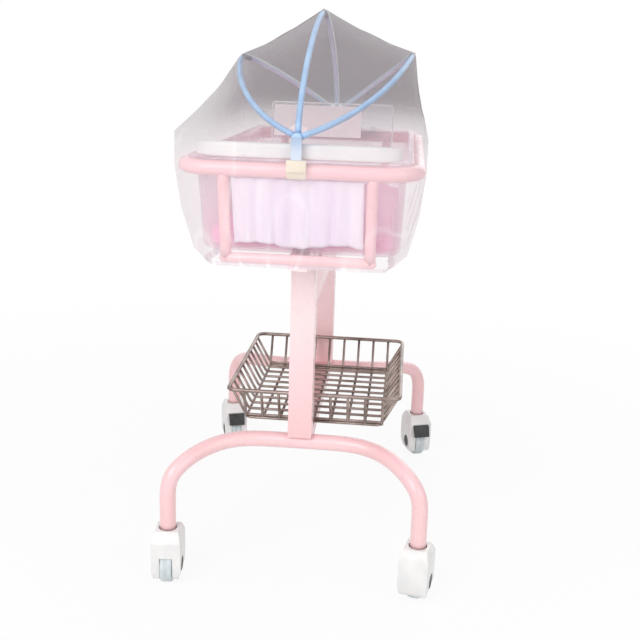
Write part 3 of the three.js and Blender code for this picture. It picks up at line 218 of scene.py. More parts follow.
def rounded_rectangle(half_x, half_y, radius, shares):
    """Points and outward directions at shares of the way round, from the middle of the front side."""
    x, y = half_x - radius, half_y - radius
    bend = radius * math.pi / 2
    walked = np.cumsum((0, x, bend, 2 * y, bend, 2 * x, bend, 2 * y, bend, x))
    place = np.asarray(shares, float) % 1.0 * walked[-1]
    angle = np.radians(np.interp(place, walked, (-90, -90, 0, 0, 90, 90, 180, 180, 270, 270)))
    center_x = np.interp(place, walked, (0, x, x, x, x, -x, -x, -x, -x, 0))
    center_y = np.interp(place, walked, (-y, -y, -y, y, y, y, y, -y, -y, -y))
    normals = np.column_stack([np.cos(angle), np.sin(angle)])
    return np.column_stack([center_x, center_y]) + radius * normals, normals


def ring_at(half, corner, height, count=120):
    """A level ring of points along a rounded rectangle."""
    flat, _ = rounded_rectangle(*half, corner, np.linspace(0, 1, count, endpoint=False))
    return np.column_stack([flat, np.full(count, height)])


def link_object(name, mesh, material):
    mesh.materials.append(MATERIALS[material])
    obj = bpy.data.objects.new(name, mesh)
    bpy.context.scene.collection.objects.link(obj)
    return obj


def new_object(name, part, material, closed=True):
    """An object of a part's points and faces, shaded smooth; the faces of a closed part turn outward."""
    verts, faces = part
    mesh = bpy.data.meshes.new(name)
    mesh.from_pydata([tuple(vert) for vert in verts], [], faces)
    if closed:
        bm = bmesh.new()
        bm.from_mesh(mesh)
        bmesh.ops.recalc_face_normals(bm, faces=bm.faces)
        bm.to_mesh(mesh)
        bm.free()
    mesh.polygons.foreach_set("use_smooth", [True] * len(mesh.polygons))
    return link_object(name, mesh, material)


def dress(obj, slot, *nodes):
    """Puts a piece in place of its CAD nodes, on their body; a piece without nodes rides the frame."""
    if nodes:
        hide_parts(*nodes)
    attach(obj, BODY_OF[nodes[0]] if nodes else "frame")
    return obj


def piece(name, part, slot, *nodes, material=None):
    """A closed part as a dressed piece; its material is named as its slot unless another is given."""
    return dress(new_object(name, part, material or slot), slot, *nodes)


def refined(node, slot, bevel, segments=3, material=None):
    """The CAD node's own shape with rounded edges and smooth shading."""
    bm = bmesh.new()
    bm.from_mesh(NODES[node].data)
    bmesh.ops.remove_doubles(bm, verts=bm.verts, dist=WELD)
    bmesh.ops.dissolve_limit(bm, angle_limit=FLAT_ANGLE, verts=bm.verts, edges=bm.edges)
    edges = [edge for edge in bm.edges if edge.is_manifold and edge.calc_face_angle(0) > SHARP_ANGLE]
    bmesh.ops.bevel(bm, geom=edges, offset=bevel, segments=segments, profile=0.5, affect="EDGES",
                    clamp_overlap=True)
    for face in bm.faces:
        face.smooth = True
    for edge in bm.edges:
        edge.smooth = not edge.is_manifold or edge.calc_face_angle(0) < SHARP_ANGLE
    mesh = bpy.data.meshes.new(node + "_finished")
    bm.to_mesh(mesh)
    bm.free()
    return dress(link_object(node + "_finished", mesh, material or slot), slot, node)


# Materials
WHITE = (1.0, 1.0, 1.0, 1.0)
EVEN = (1.0, 1.0, 1.0)
MOTTLE = (0.35, 0.65)  # of the noise, where the first colour ends and the second starts


class Graph:
    """A node tree with short ways to add to it."""

    def __init__(self, owner):
        owner.use_nodes = True
        self.nodes = owner.node_tree.nodes
        self.links = owner.node_tree.links

    def node(self, kind, inputs=(), **settings):
        node = self.nodes.new("ShaderNode" + kind)
        for key, value in settings.items():
            setattr(node, key, value)
        for socket, value in dict(inputs).items():
            if isinstance(value, bpy.types.NodeSocket):
                self.links.new(value, node.inputs[socket])
            else:
                node.inputs[socket].default_value = value
        return node

    def math(self, operation, first, second=0.0):
        return self.node("Math", {0: first, 1: second}, operation=operation).outputs[0]

    def seen_directly(self):
        """1 for rays from the eye, a mirror or through glass."""
        rays = self.node("LightPath").outputs
        seen = self.math("MAXIMUM", rays["Is Camera Ray"], rays["Is Glossy Ray"])
        return self.math("MAXIMUM", seen, rays["Is Transmission Ray"])

    def surface(self, output, share, first, second):
        """Sends a mix of two shaders to the output node."""
        mix = self.node("MixShader", {"Fac": share, 1: first, 2: second})
        self.links.new(mix.outputs["Shader"], self.nodes[output].inputs["Surface"])


class Finish(Graph):
    """A Principled material with short ways to colour and roughen it."""

    def __init__(self, name, color, roughness, **sockets):
        self.material = bpy.data.materials.new(name)
        super().__init__(self.material)
        self.shader = self.nodes["Principled BSDF"]
        self.shader.inputs["Base Color"].default_value = (*color, 1.0)
        self.shader.inputs["Roughness"].default_value = roughness
        for socket, value in sockets.items():
            self.shader.inputs[socket.replace("_", " ")].default_value = value

    def feed(self, socket, output):
        self.links.new(output, self.shader.inputs[socket])

    def place(self):
        return self.node("TexCoord").outputs["Object"]

    def along(self, axis):
        """The object's own coordinate along an axis."""
        return self.node("SeparateXYZ", {"Vector": self.place()}).outputs[axis]

    def sheet_map(self, name):
        """The parts of a texture map."""
        texture = self.node("UVMap", uv_map=name).outputs["UV"]
        return self.node("SeparateXYZ", {"Vector": texture}).outputs

    def noise(self, scale, detail=3.0, stretch=EVEN):
        mapping = self.node("Mapping", {"Vector": self.place(), "Scale": stretch}).outputs["Vector"]
        return self.node("TexNoise", {"Vector": mapping, "Scale": scale, "Detail": detail}).outputs["Fac"]

    def ramp(self, value, low=0.0, high=1.0, to_low=0.0, to_high=1.0, **settings):
        """Goes from to_low to to_high as the value goes from low to high."""
        inputs = {"Value": value, "From Min": low, "From Max": high, "To Min": to_low, "To Max": to_high}
        return self.node("MapRange", inputs, **settings).outputs["Result"]

    def mix(self, share, *colors):
        """A colour between two, each of them three numbers or a socket."""
        first, second = (c if isinstance(c, bpy.types.NodeSocket) else (*c, 1.0) for c in colors)
        return self.node("MixRGB", {"Fac": share, "Color1": first, "Color2": second}).outputs["Color"]

    def mottle(self, first, second, scale, stretch=EVEN):
        """Base colour that wanders between two colours."""
        ramp = self.node("ValToRGB", {"Fac": self.noise(scale, stretch=stretch)})
        for element, position, color in zip(ramp.color_ramp.elements, MOTTLE, (first, second)):
            element.position = position
            element.color = (*color, 1.0)
        self.feed("Base Color", ramp.outputs["Color"])
        return ramp.outputs["Color"]

    def wear(self, low, high, scale, stretch=EVEN):
        """Roughness that wanders between two numbers."""
        self.feed("Roughness", self.ramp(self.noise(scale, stretch=stretch), to_low=low, to_high=high))

    def bump(self, height, depth, strength):
        bump = self.node("Bump", {"Height": height, "Distance": depth, "Strength": strength})
        self.feed("Normal", bump.outputs["Normal"])

    def grain(self, scale, depth, strength):
        self.bump(self.noise(scale), depth, strength)


def paint(name, color):
    """Glossy paint, still in one colour."""
    finish = Finish(name, color, 0.28, Coat_Weight=0.22, Coat_Roughness=0.14)
    finish.wear(0.22, 0.36, 40.0)
    finish.grain(420.0, 0.0001, 0.15)
    return finish


def pink_paint():
    finish = paint("pink_paint", (0.94, 0.62, 0.64))
    finish.mottle((0.92, 0.59, 0.61), (0.96, 0.65, 0.67), 6.0)
    return finish


# Heights over which the columns' paint turns paler upward: a painted highlight for strong light on their front
# faces
COLUMN_HIGHLIGHT_FADE = (0.30, 0.60)


def column_paint_with_painted_light():
    finish = paint("column_paint_with_painted_light", (0.95, 0.70, 0.72))
    # Painted highlight: each column's pink turns paler towards its top
    up = finish.ramp(finish.along("Z"), *COLUMN_HIGHLIGHT_FADE)
    finish.feed("Base Color", finish.mix(up, (0.94, 0.61, 0.63), (0.96, 0.79, 0.80)))
    return finish


def basket_wire():
    finish = Finish("basket_wire", (0.30, 0.24, 0.22), 0.32, Metallic=0.75)
    finish.mottle((0.22, 0.17, 0.15), (0.40, 0.33, 0.30), 26.0)
    finish.wear(0.24, 0.45, 90.0)
    finish.grain(900.0, 0.0003, 0.2)
    return finish


def white_plastic():
    finish = Finish("white_plastic", (0.86, 0.86, 0.86), 0.38)
    finish.mottle((0.82, 0.82, 0.82), (0.89, 0.89, 0.88), 30.0)
    finish.wear(0.32, 0.46, 120.0)
    finish.grain(1500.0, 0.0002, 0.15)
    return finish


def black_plastic():
    finish = Finish("black_plastic", (0.03, 0.03, 0.032), 0.5)
    finish.mottle((0.022, 0.022, 0.024), (0.05, 0.05, 0.052), 60.0)
    finish.wear(0.42, 0.6, 200.0)
    finish.grain(1800.0, 0.0003, 0.3)
    return finish


def tread():
    finish = Finish("tread", (0.66, 0.73, 0.76), 0.6)
    finish.mottle((0.60, 0.67, 0.70), (0.72, 0.78, 0.80), 45.0)
    finish.wear(0.5, 0.72, 150.0)
    finish.grain(1200.0, 0.0003, 0.25)
    return finish


def steel():
    finish = Finish("steel", (0.62, 0.62, 0.63), 0.35, Metallic=0.9)
    finish.mottle((0.56, 0.56, 0.57), (0.68, 0.68, 0.69), 80.0)
    finish.wear(0.28, 0.45, 160.0)
    return finish


def clear_plastic(name="clear_plastic", color=(0.86, 0.88, 0.90)):
    """Plastic that is clear seen straight on and denser towards its edges."""
    finish = Finish(name, color, 0.08, Specular_IOR_Level=0.6)
    facing = finish.node("LayerWeight", {"Blend": 0.35}).outputs["Facing"]
    finish.feed("Alpha", finish.ramp(facing, to_low=0.14, to_high=0.60))
    finish.wear(0.05, 0.16, 30.0, stretch=(1.0, 1.0, 6.0))
    return finish


def rosy_plastic():
    return clear_plastic("rosy_plastic", (0.92, 0.70, 0.79))


WAVE_PERIOD = 0.314  # of a wave texture at scale 1, in metres


def woven(finish, thread):
    """Fine crossed threads as bump, thread metres apart."""
    inputs = {"Scale": WAVE_PERIOD / thread, "Distortion": 1.2, "Detail Scale": 2.0}
    height = 0.0
    for axis in "XYZ":
        wave = finish.node("TexWave", {"Vector": finish.place(), **inputs}, bands_direction=axis)
        height = finish.math("ADD", wave.outputs["Fac"], height)
    finish.bump(height, 0.0004, 0.25)


def pink_cloth():
    finish = Finish("pink_cloth", (0.95, 0.38, 0.62), 0.9, Sheen_Weight=0.4)
    finish.mottle((0.93, 0.34, 0.58), (0.97, 0.44, 0.67), 14.0)
    woven(finish, 0.0012)
    return finish


def lilac_cloth():
    finish = Finish("lilac_cloth", (0.87, 0.79, 0.90), 0.9, Sheen_Weight=0.2)
    finish.mottle((0.83, 0.73, 0.87), (0.91, 0.85, 0.93), 9.0, stretch=(3.0, 1.0, 0.4))
    woven(finish, 0.0011)
    return finish


BOW_PALE = (0.0, 0.12)  # along the trolley, where the bows turn pale towards the head end
BOW_TAPE = 0.045
HUB_PALE = (0.876, 0.896)  # of height, where a hub's pale arm turns blue


def blue_plastic():
    finish = Finish("blue_plastic", (0.36, 0.54, 0.78), 0.35)
    blue = finish.mottle((0.33, 0.50, 0.75), (0.41, 0.59, 0.82), 20.0)
    along = finish.along("Y")
    pale = finish.mix(finish.ramp(along, *BOW_PALE), blue, (0.72, 0.86, 0.98))
    tape = finish.math("LESS_THAN", finish.math("ABSOLUTE", along), BOW_TAPE)
    finish.feed("Base Color", finish.mix(tape, pale, (0.17, 0.19, 0.25)))
    finish.wear(0.28, 0.45, 90.0)
    finish.grain(1500.0, 0.0002, 0.15)
    return finish


def pale_blue_plastic():
    finish = Finish("pale_blue_plastic", (0.62, 0.77, 0.92), 0.3)
    up = finish.ramp(finish.along("Z"), *HUB_PALE)
    finish.feed("Base Color", finish.mix(up, (0.66, 0.80, 0.93), (0.42, 0.60, 0.82)))
    finish.wear(0.25, 0.4, 90.0)
    return finish


def amber_plastic():
    finish = Finish("amber_plastic", (0.94, 0.88, 0.70), 0.35, Alpha=0.85)
    finish.mottle((0.93, 0.86, 0.65), (0.96, 0.92, 0.78), 40.0)
    finish.wear(0.28, 0.45, 100.0)
    return finish


def white_card():
    finish = Finish("white_card", (0.94, 0.95, 0.94), 0.7)
    finish.mottle((0.92, 0.94, 0.92), (0.96, 0.97, 0.95), 22.0)
    finish.grain(900.0, 0.0002, 0.2)
    return finish


NET_CELL = 0.0016
NET_THREAD = 0.16
NET_HEM = 0.012
NET_HOOD = (0.825, 0.950)  # of height, where the skirt turns into the hood
# Painted shade: the hood turns denser and darker grey towards the head end, for the dim space seen through it
NET_HEAD = (-0.30, 0.25)  # along the trolley, where the hood grows denser
NET_STITCH = 0.0065
NET_SLEEVE = (0.0045, 0.0085)  # from a bow's line, where the net is stretched thin over it
CREASE_SCALE = 10.0
CREASE_STRETCH = (1.0, 1.0, 0.3)
CREASE_WIDTH = 0.022
SKIRT_VEIL = 0.18
HOOD_VEIL = (0.22, 0.66)
THREAD_ALPHA = 0.26
CREASE_ALPHA = 0.07
HEM_ALPHA = 0.30
SLEEVE_ALPHA = 0.2
STITCH_ALPHA = 0.92


def net():
    """Open mesh of threads along both ways of the sheet's own map.

    It is greyer up in the hood and towards the head end, a painted shade for the dim space seen through it.
    It is creased in the skirt, where the creases are denser and whitened as a painted highlight, and thin where it
    runs over a bow. Its hem is denser, where v nears zero, and a dark stitched seam lies where u nears zero.
    """
    finish = Finish("net", (0.66, 0.65, 0.70), 0.8, Sheen_Weight=0.2)
    sheet, bow = finish.sheet_map("sheet"), finish.sheet_map("bow")["X"]
    hood = finish.ramp(finish.along("Z"), *NET_HOOD, interpolation_type="SMOOTHSTEP")
    head = finish.ramp(finish.along("Y"), *NET_HEAD, interpolation_type="SMOOTHSTEP")
    threads = []
    for axis in "XY":
        cell = finish.math("FRACT", finish.math("DIVIDE", sheet[axis], NET_CELL))
        threads.append(finish.math("LESS_THAN", cell, NET_THREAD))
    mesh = finish.math("MAXIMUM", *threads)
    hem = finish.math("LESS_THAN", sheet["Y"], NET_HEM)
    stitch = finish.math("LESS_THAN", finish.math("ABSOLUTE", sheet["X"]), NET_STITCH)
    # Crease lines in the skirt: denser where the net doubles over, and whitened below as a painted highlight
    from_middle = finish.math("SUBTRACT", finish.noise(CREASE_SCALE, 0.0, CREASE_STRETCH), 0.5)
    crease_and_highlight = finish.ramp(finish.math("ABSOLUTE", from_middle), 0.0, CREASE_WIDTH, 1.0, 0.0)
    crease_and_highlight = finish.math("MULTIPLY", crease_and_highlight, finish.math("SUBTRACT", 1.0, hood))

    alpha = finish.ramp(hood, to_low=SKIRT_VEIL, to_high=finish.ramp(head, 0.0, 1.0, *HOOD_VEIL))
    for layer, weight in ((mesh, THREAD_ALPHA), (crease_and_highlight, CREASE_ALPHA), (hem, HEM_ALPHA)):
        alpha = finish.math("ADD", alpha, finish.math("MULTIPLY", layer, weight))
    alpha = finish.math("MULTIPLY", alpha, finish.ramp(bow, *NET_SLEEVE, SLEEVE_ALPHA, 1.0))
    alpha = finish.math("MAXIMUM", alpha, finish.math("MULTIPLY", stitch, STITCH_ALPHA))
    finish.feed("Alpha", alpha)

    # Painted shade: the hood's dark grey, darker still towards the head end, stands in for the dim space seen
    # through the net
    hood_painted_shade = finish.mix(head, (0.25, 0.215, 0.24), (0.118, 0.103, 0.118))
    tint = finish.mix(hood, (0.78, 0.67, 0.73), hood_painted_shade)
    # Painted highlight: the crease lines are whitened towards near white
    crease_highlighted = finish.mix(crease_and_highlight, tint, (0.96, 0.95, 0.96))
    finish.feed("Base Color", finish.mix(stitch, crease_highlighted, (0.06, 0.05, 0.05)))
    return finish


FLOOR_GLOW = 0.90
FLOOR_FADE = (0.6, 2.2)


def floor_white():
    """White where seen, with faint shadows near the trolley; it throws light back as plain paint does."""
    finish = Finish("floor_white", (0.9, 0.9, 0.9), 0.9, Specular_IOR_Level=0.0)
    distance = finish.node("VectorMath", {0: finish.place()}, operation="LENGTH").outputs["Value"]
    fade = finish.ramp(distance, *FLOOR_FADE, FLOOR_GLOW, 1.0)
    share = finish.math("MULTIPLY", finish.seen_directly(), fade)
    glow = finish.node("Emission", {"Color": WHITE}).outputs["Emission"]
    finish.surface("Material Output", share, finish.shader.outputs["BSDF"], glow)
    return finish


MATERIALS = {make.__name__: make().material for make in (
    pink_paint, column_paint_with_painted_light, basket_wire, white_plastic, black_plastic, tread, steel, clear_plastic,
    rosy_plastic, pink_cloth, lilac_cloth, blue_plastic, pale_blue_plastic, amber_plastic, white_card, net,
    floor_white)}


# Chassis and crib frame
def arch_path(end):
    rise = ARCH_CROWN - LEG_STRAIGHT_TOP
    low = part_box(f"{end}_arch")[0][2]
    angles = np.linspace(0, math.pi / 2, ARCH_STEPS)
    across = np.sin(angles) ** (2 / ARCH_ROUNDNESS)
    up = np.clip(np.cos(angles), 0, 1) ** (2 / ARCH_ROUNDNESS)
    reach = COLUMN_REACH + (FOOT_REACH - COLUMN_REACH) * (1 - up ** ARCH_SPREAD)
    x = ARCH_CROWN_HALF + (LEG_X - ARCH_CROWN_HALF) * across
    half = np.stack([x, ENDS[end] * reach, LEG_STRAIGHT_TOP + rise * up], axis=1)
    levels = np.linspace(LEG_STRAIGHT_TOP, low, LEG_STEPS)[1:]
    foot = np.array([[LEG_X, ENDS[end] * FOOT_REACH, z] for z in levels])
    right = np.concatenate([half, foot])
    return np.concatenate([right[::-1] * (-1, 1, 1), right])


def add_arches():
    for end in ENDS:
        piece(f"{end}_arch_tube", sweep(arch_path(end), ARCH_RADIUS, sides=32), "pink_paint", f"{end}_arch")


def add_box_tubes():
    for end in ENDS:
        refined(f"{end}_column", "pink_paint", BOX_TUBE_EDGE, material="column_paint_with_painted_light")
    for node in ("spine", "upper_beam"):
        refined(node, "pink_paint", BOX_TUBE_EDGE)


def add_rails():
    path = ring_at((RAIL_HALF_WIDTH, RAIL_HALF_LENGTH), RAIL_CORNER, RAIL_HEIGHT, count=240)
    piece("rail_loop", sweep(path, RAIL_RADIUS, sides=28, closed=True), "pink_paint",
          "front_end_rail", "rear_end_rail", "left_side_rail", "right_side_rail")
    for end, sign in ENDS.items():
        low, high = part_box(f"{end}_bottom_rail")
        y = sign * BOTTOM_RAIL_REACH
        rod = rounded_rod((low[0], y, BOTTOM_RAIL_HEIGHT), (high[0], y, BOTTOM_RAIL_HEIGHT), POST_RADIUS)
        piece(f"{end}_bottom_rail_tube", rod, "pink_paint", f"{end}_bottom_rail")
        for side, x in (("left", -POST_X), ("right", POST_X)):
            foot = (x, y, BOTTOM_RAIL_HEIGHT)
            top = (x, sign * RAIL_HALF_LENGTH, RAIL_HEIGHT)
            post = sweep(np.linspace(foot, top, POST_STEPS), POST_RADIUS)
            piece(f"{end}_{side}_post_tube", post, "pink_paint", f"{end}_{side}_post")


# Wire basket
WIRE_RADIUS = 0.0031
WIRE_LIFT = 0.0004
HOOP_RADIUS = 0.0030
RIM_RADIUS = 0.0042
RIM_CORNER = 0.016
BASE_CORNER = 0.012
BASKET_PITCH = 0.0365
WIRE_BEND = 0.008


def hoop(keys, axis, place):
    """One wire in a plane across the axis: down a wall, across the floor and up the other wall."""
    path = [keys[0]]
    for i in (1, 2):
        before = unit(keys[i - 1] - keys[i])
        after = unit(keys[i + 1] - keys[i])
        for share in np.linspace(0, 1, BEND_STEPS):
            path.append(keys[i] + WIRE_BEND * (before * (1 - share) ** 2 + after * share ** 2))
    path.append(keys[3])
    return np.insert(np.array(path), axis, place, axis=1)


def add_basket():
    floor_low, floor_high = (np.array(corner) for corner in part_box("basket_floor"))
    rim_low = np.array((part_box("basket_left_wall")[0][0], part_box("basket_front_wall")[0][1])) + RIM_RADIUS
    rim_high = np.array((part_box("basket_right_wall")[1][0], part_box("basket_rear_wall")[1][1])) - RIM_RADIUS
    rim_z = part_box("basket_front_wall")[1][2] - RIM_RADIUS
    floor_z = floor_low[2] + WIRE_RADIUS + WIRE_LIFT
    floor_low, floor_high = floor_low[:2], floor_high[:2]

    def loop(low, high, corner, z):
        return ring_at((high - low) / 2, corner, z, count=160) + (*(low + high) / 2, 0)

    rim = loop(rim_low, rim_high, RIM_CORNER, rim_z)
    base = loop(floor_low, floor_high, BASE_CORNER, floor_z)
    parts = [sweep(rim, RIM_RADIUS, sides=14, closed=True), sweep(base, WIRE_RADIUS, sides=10, closed=True)]
    for axis, other in ((0, 1), (1, 0)):
        floor_level = floor_z + 2 * WIRE_RADIUS * axis
        keys = [(rim_low[other], rim_z), (floor_low[other], floor_level),
                (floor_high[other], floor_level), (rim_high[other], rim_z)]
        count = int(round((floor_high[axis] - floor_low[axis]) / BASKET_PITCH))
        for place in np.linspace(floor_low[axis], floor_high[axis], count + 1):
            parts.append(sweep(hoop(np.array(keys), axis, place), HOOP_RADIUS, sides=10))
    walls = [f"basket_{side}_wall" for side in ("front", "rear", "left", "right")]
    piece("wire_basket", joined(parts), "basket_wire", "basket_floor", *walls)


# Casters
WHEEL_RADIUS = 0.0375
TYRE_HALF = 0.01175
TYRE_SHOULDER = 0.0035
TYRE_DEPTH = 0.0093
TYRE_GROOVE = 0.0012
SHOULDER_STEPS = 5
CAP_RADIUS = 0.0157
HOUSING_EDGE = 0.0025
STEM_EDGE = 0.0006
PEDAL_EDGE = 0.0012
# Half profiles as radius and place along the axle
CORE_PROFILE = ((0.0043, -0.0123), (0.0110, -0.0123), (0.0115, -0.0118), (0.0115, -0.0070),
                (0.0225, -0.0070), (0.0235, -0.0098), (0.0270, -0.0098))
AXLE_PROFILE = ((0.0001, -0.0288), (0.0060, -0.0290), (CAP_RADIUS - 0.0015, -0.0286),
                (CAP_RADIUS, -0.0272), (CAP_RADIUS, -0.0268), (0.0040, -0.0268))


def tyre_profile():
    middle = WHEEL_RADIUS - TYRE_SHOULDER
    profile = [(WHEEL_RADIUS - TYRE_DEPTH, -TYRE_HALF), (middle, -TYRE_HALF)]
    for angle in np.linspace(-math.pi / 2, 0, SHOULDER_STEPS)[1:]:
        profile.append((middle + TYRE_SHOULDER * math.cos(angle),
                        -TYRE_HALF + TYRE_SHOULDER + TYRE_SHOULDER * math.sin(angle)))
    return profile + [(WHEEL_RADIUS, -TYRE_GROOVE), (WHEEL_RADIUS - TYRE_GROOVE, -TYRE_GROOVE / 2)]


def wheel_matrix(name):
    joint = next(j for j in frame["joints"] if j["name"] == f"{name}_wheel_spin")
    turn = Vector((0, 0, 1)).rotation_difference(Vector(joint["axis"])).to_matrix().to_4x4()
    return Matrix.Translation(Vector(joint["pos_m"])) @ turn


def add_casters():
    for name in CASTERS:
        place = wheel_matrix(name)
        tyre = moved(lathe(mirrored(tyre_profile()), sides=64), place)
        piece(f"{name}_tread_ring", tyre, "tread", f"{name}_tyre")
        core = moved(lathe(mirrored(CORE_PROFILE), sides=64), place)
        piece(f"{name}_wheel_disc", core, "white_plastic", f"{name}_wheel_core")
        axle = moved(lathe(mirrored(AXLE_PROFILE)), place)
        piece(f"{name}_axle_caps", axle, "black_plastic", f"{name}_axle")
        refined(f"{name}_caster_housing", "white_plastic", HOUSING_EDGE)
        refined(f"{name}_caster_stem", "steel", STEM_EDGE, segments=2)
    for name in BRAKED_CASTERS:
        refined(f"{name}_brake_pedal", "black_plastic", PEDAL_EDGE)


# Basin, bumper, mattress, hung cloth and head plate
BASIN_SEAT = 0.8548
BASIN_LIP_TOP = 0.860
BASIN_UNDERSIDE = 0.6828
BASIN_WALL = 0.004
BASIN_FILLET = 0.014
FILLET_DRAW = 0.6
BASIN_TOP_HALF = (0.190, 0.406)
BASIN_TOP_CORNER = 0.045
BASIN_LOW_HALF = (0.184, 0.3673)
BASIN_LOW_CORNER = 0.040
LIP_HALF = (0.200, 0.4295)
LIP_CORNER = 0.049
LIP_ROUND = 0.0015
LIP_EDGE = 0.001


def shrunk(half, amount):
    return (half[0] - amount, half[1] - amount)


def add_basin():
    outer, inner = [], []
    for angle in np.linspace(0, math.pi / 2, BEND_STEPS):
        drop = BASIN_FILLET * (1 - math.sin(angle))
        draw = BASIN_FILLET * (1 - math.cos(angle))
        for rings, wall in ((outer, 0.0), (inner, BASIN_WALL)):
            corner = BASIN_LOW_CORNER - wall - FILLET_DRAW * drop
            rings.append(ring_at(shrunk(BASIN_LOW_HALF, wall + drop), corner, BASIN_UNDERSIDE + wall + draw))
    edge_wall = BASIN_WALL - LIP_EDGE
    lip = (
        (BASIN_TOP_HALF, BASIN_TOP_CORNER, BASIN_SEAT),
        (shrunk(LIP_HALF, LIP_EDGE), LIP_CORNER - LIP_EDGE, BASIN_SEAT),
        (LIP_HALF, LIP_CORNER, BASIN_SEAT + LIP_ROUND),
        (LIP_HALF, LIP_CORNER, BASIN_LIP_TOP - LIP_ROUND),
        (shrunk(LIP_HALF, LIP_ROUND), LIP_CORNER - LIP_EDGE, BASIN_LIP_TOP),
        (shrunk(BASIN_TOP_HALF, edge_wall), BASIN_TOP_CORNER - edge_wall, BASIN_LIP_TOP),
        (shrunk(BASIN_TOP_HALF, BASIN_WALL), BASIN_TOP_CORNER - BASIN_WALL, BASIN_LIP_TOP - LIP_ROUND),
    )
    part = loft(outer + [ring_at(*row) for row in lip] + inner[::-1])
    shell = piece("basin_shell", part, "clear_plastic", "basin", material="rosy_plastic")
    shell.visible_shadow = False  # clear plastic lets nearly all light in


BUMPER_SQUARENESS = 0.45
BUMPER_END = 0.045
BUMPER_BLUNT = 0.999  # how far the end's rounding goes before it stops at a small flat
BUMPER_CROWDING = 1.5
BUMPER_END_HEIGHT = 0.55
BUMPER_SIDES = 40
BUMPER_STEPS = 61


def add_bumper():
    low, high = (np.array(corner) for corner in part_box("foot_bumper"))
    middle, size, half = (low + high) / 2, high - low, high[0]
    angles = full_turn(BUMPER_SIDES)
    outline = np.column_stack([np.cos(angles), np.sin(angles)])
    section = 0.5 * size[1:] * np.sign(outline) * np.abs(outline) ** BUMPER_SQUARENESS
    rings = []
    for share in np.linspace(-1, 1, BUMPER_STEPS):
        x = half * math.copysign(1 - (1 - abs(share)) ** BUMPER_CROWDING, share)
        bend = min(1.0, max(0.0, 1 - (half - abs(x)) / BUMPER_END))
        shift = size[1] * 0.5 * (1 - math.sqrt(1 - bend ** 2))
        squeeze = math.sqrt(1 - (bend * BUMPER_BLUNT) ** 2)
        y = middle[1] + shift + section[:, 0] * squeeze
        z = middle[2] + section[:, 1] * (BUMPER_END_HEIGHT + (1 - BUMPER_END_HEIGHT) * squeeze)
        rings.append(np.column_stack([np.full(len(section), x), y, z]))
    piece("foot_bumper_pad", loft(rings), "white_plastic", "foot_bumper")


MATTRESS_WAIST = 0.005
MATTRESS_CROWN = 0.007
MATTRESS_CORNER = 0.030
MATTRESS_SPARE = (-0.005, -0.005, 0.001)  # the swelling draws the sides in and lifts the top
MATTRESS_VOXEL = 0.006
# Rings of the pad as shares of its size and of its height; those at full height form the crown
MATTRESS_SIDES = ((0.55, 0.0), (0.9, 0.0), (0.955, 0.02), (0.985, 0.12), (1.0, 0.3), (1.0, 0.5), (1.0, 0.7),
                  (0.985, 0.88), (0.955, 0.98))
MATTRESS_TOP = (0.92, 0.85, 0.75, 0.6, 0.45, 0.3, 0.15)
PIPED_RINGS = (3, 8)
PIPING_START = (1.02, 1.02, 1.0)
PIPING_RADIUS = 0.0022
SWELL_PRESSURE = 4.0
SWELL_CAP = 0.006
SWELL_FRAMES = 20
LEAST_MOVE = 1e-9


def mattress_rings(low, high, count=160):
    half = high[:2]
    height = high[2] - low[2] - MATTRESS_CROWN
    edge = ring_at(half, MATTRESS_CORNER, 0.0, count)[:, :2]
    shares = edge / half
    draw = np.cos(np.pi / 2 * shares[:, ::-1]) * np.abs(shares) ** 3 * np.sign(shares)
    rings = []
    for share, level in (*MATTRESS_SIDES, *((share, 1.0) for share in MATTRESS_TOP)):
        crown = MATTRESS_CROWN * (1 - share ** 2) if level == 1.0 else 0.0
        flat = (edge - MATTRESS_WAIST * draw) * share
        rings.append(np.column_stack([flat, np.full(count, low[2] + height * level + crown)]))
    return rings


def evaluated(obj):
    """The object's mesh with its modifiers applied, as its own."""
    graph = bpy.context.evaluated_depsgraph_get()
    mesh = bpy.data.meshes.new_from_object(obj.evaluated_get(graph))
    obj.modifiers.clear()
    obj.data = mesh
    return mesh


def coordinates(mesh):
    flat = np.empty(len(mesh.vertices) * 3)
    mesh.vertices.foreach_get("co", flat)
    return flat.reshape(-1, 3)


def swell(obj, floor):
    """Blows the pad up with cloth pressure, each point by SWELL_CAP at most and never below its floor."""
    remesh = obj.modifiers.new("remesh", "REMESH")
    remesh.mode = "VOXEL"
    remesh.voxel_size = MATTRESS_VOXEL
    before = coordinates(evaluated(obj))
    cloth = obj.modifiers.new("swell", "CLOTH")
    cloth.settings.use_pressure = True
    cloth.settings.uniform_pressure_force = SWELL_PRESSURE
    cloth.settings.effector_weights.gravity = 0.0
    cloth.point_cache.frame_start = 1
    cloth.point_cache.frame_end = SWELL_FRAMES
    for step in range(1, SWELL_FRAMES + 1):
        bpy.context.scene.frame_set(step)
    mesh = evaluated(obj)
    bpy.context.scene.frame_set(1)
    move = coordinates(mesh) - before
    length = np.linalg.norm(move, axis=1, keepdims=True)
    after = before + move * np.minimum(1.0, SWELL_CAP / np.maximum(length, LEAST_MOVE))
    after[:, 2] = np.maximum(after[:, 2], floor)
    mesh.vertices.foreach_set("co", after.ravel())
    mesh.polygons.foreach_set("use_smooth", [True] * len(mesh.polygons))
    smooth = obj.modifiers.new("smooth", "SUBSURF")
    smooth.levels = smooth.render_levels = 1


def add_mattress():
    low, high = (np.array(corner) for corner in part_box("mattress"))
    rings = mattress_rings(low, high - np.array(MATTRESS_SPARE))
    pad = new_object("mattress_pad", loft(rings), "pink_cloth")
    swell(pad, low[2])
    dress(pad, "pink_cloth", "mattress")
    faces = [tuple(polygon.vertices) for polygon in pad.data.polygons]
    tree = BVHTree.FromPolygons(coordinates(pad.data).tolist(), faces)
    piping = []
    for ring in PIPED_RINGS:
        path = [tuple(tree.find_nearest(Vector(point))[0]) for point in rings[ring] * PIPING_START]
        piping.append(sweep(path, PIPING_RADIUS, sides=8, closed=True))
    piece("mattress_piping", joined(piping), "pink_cloth")


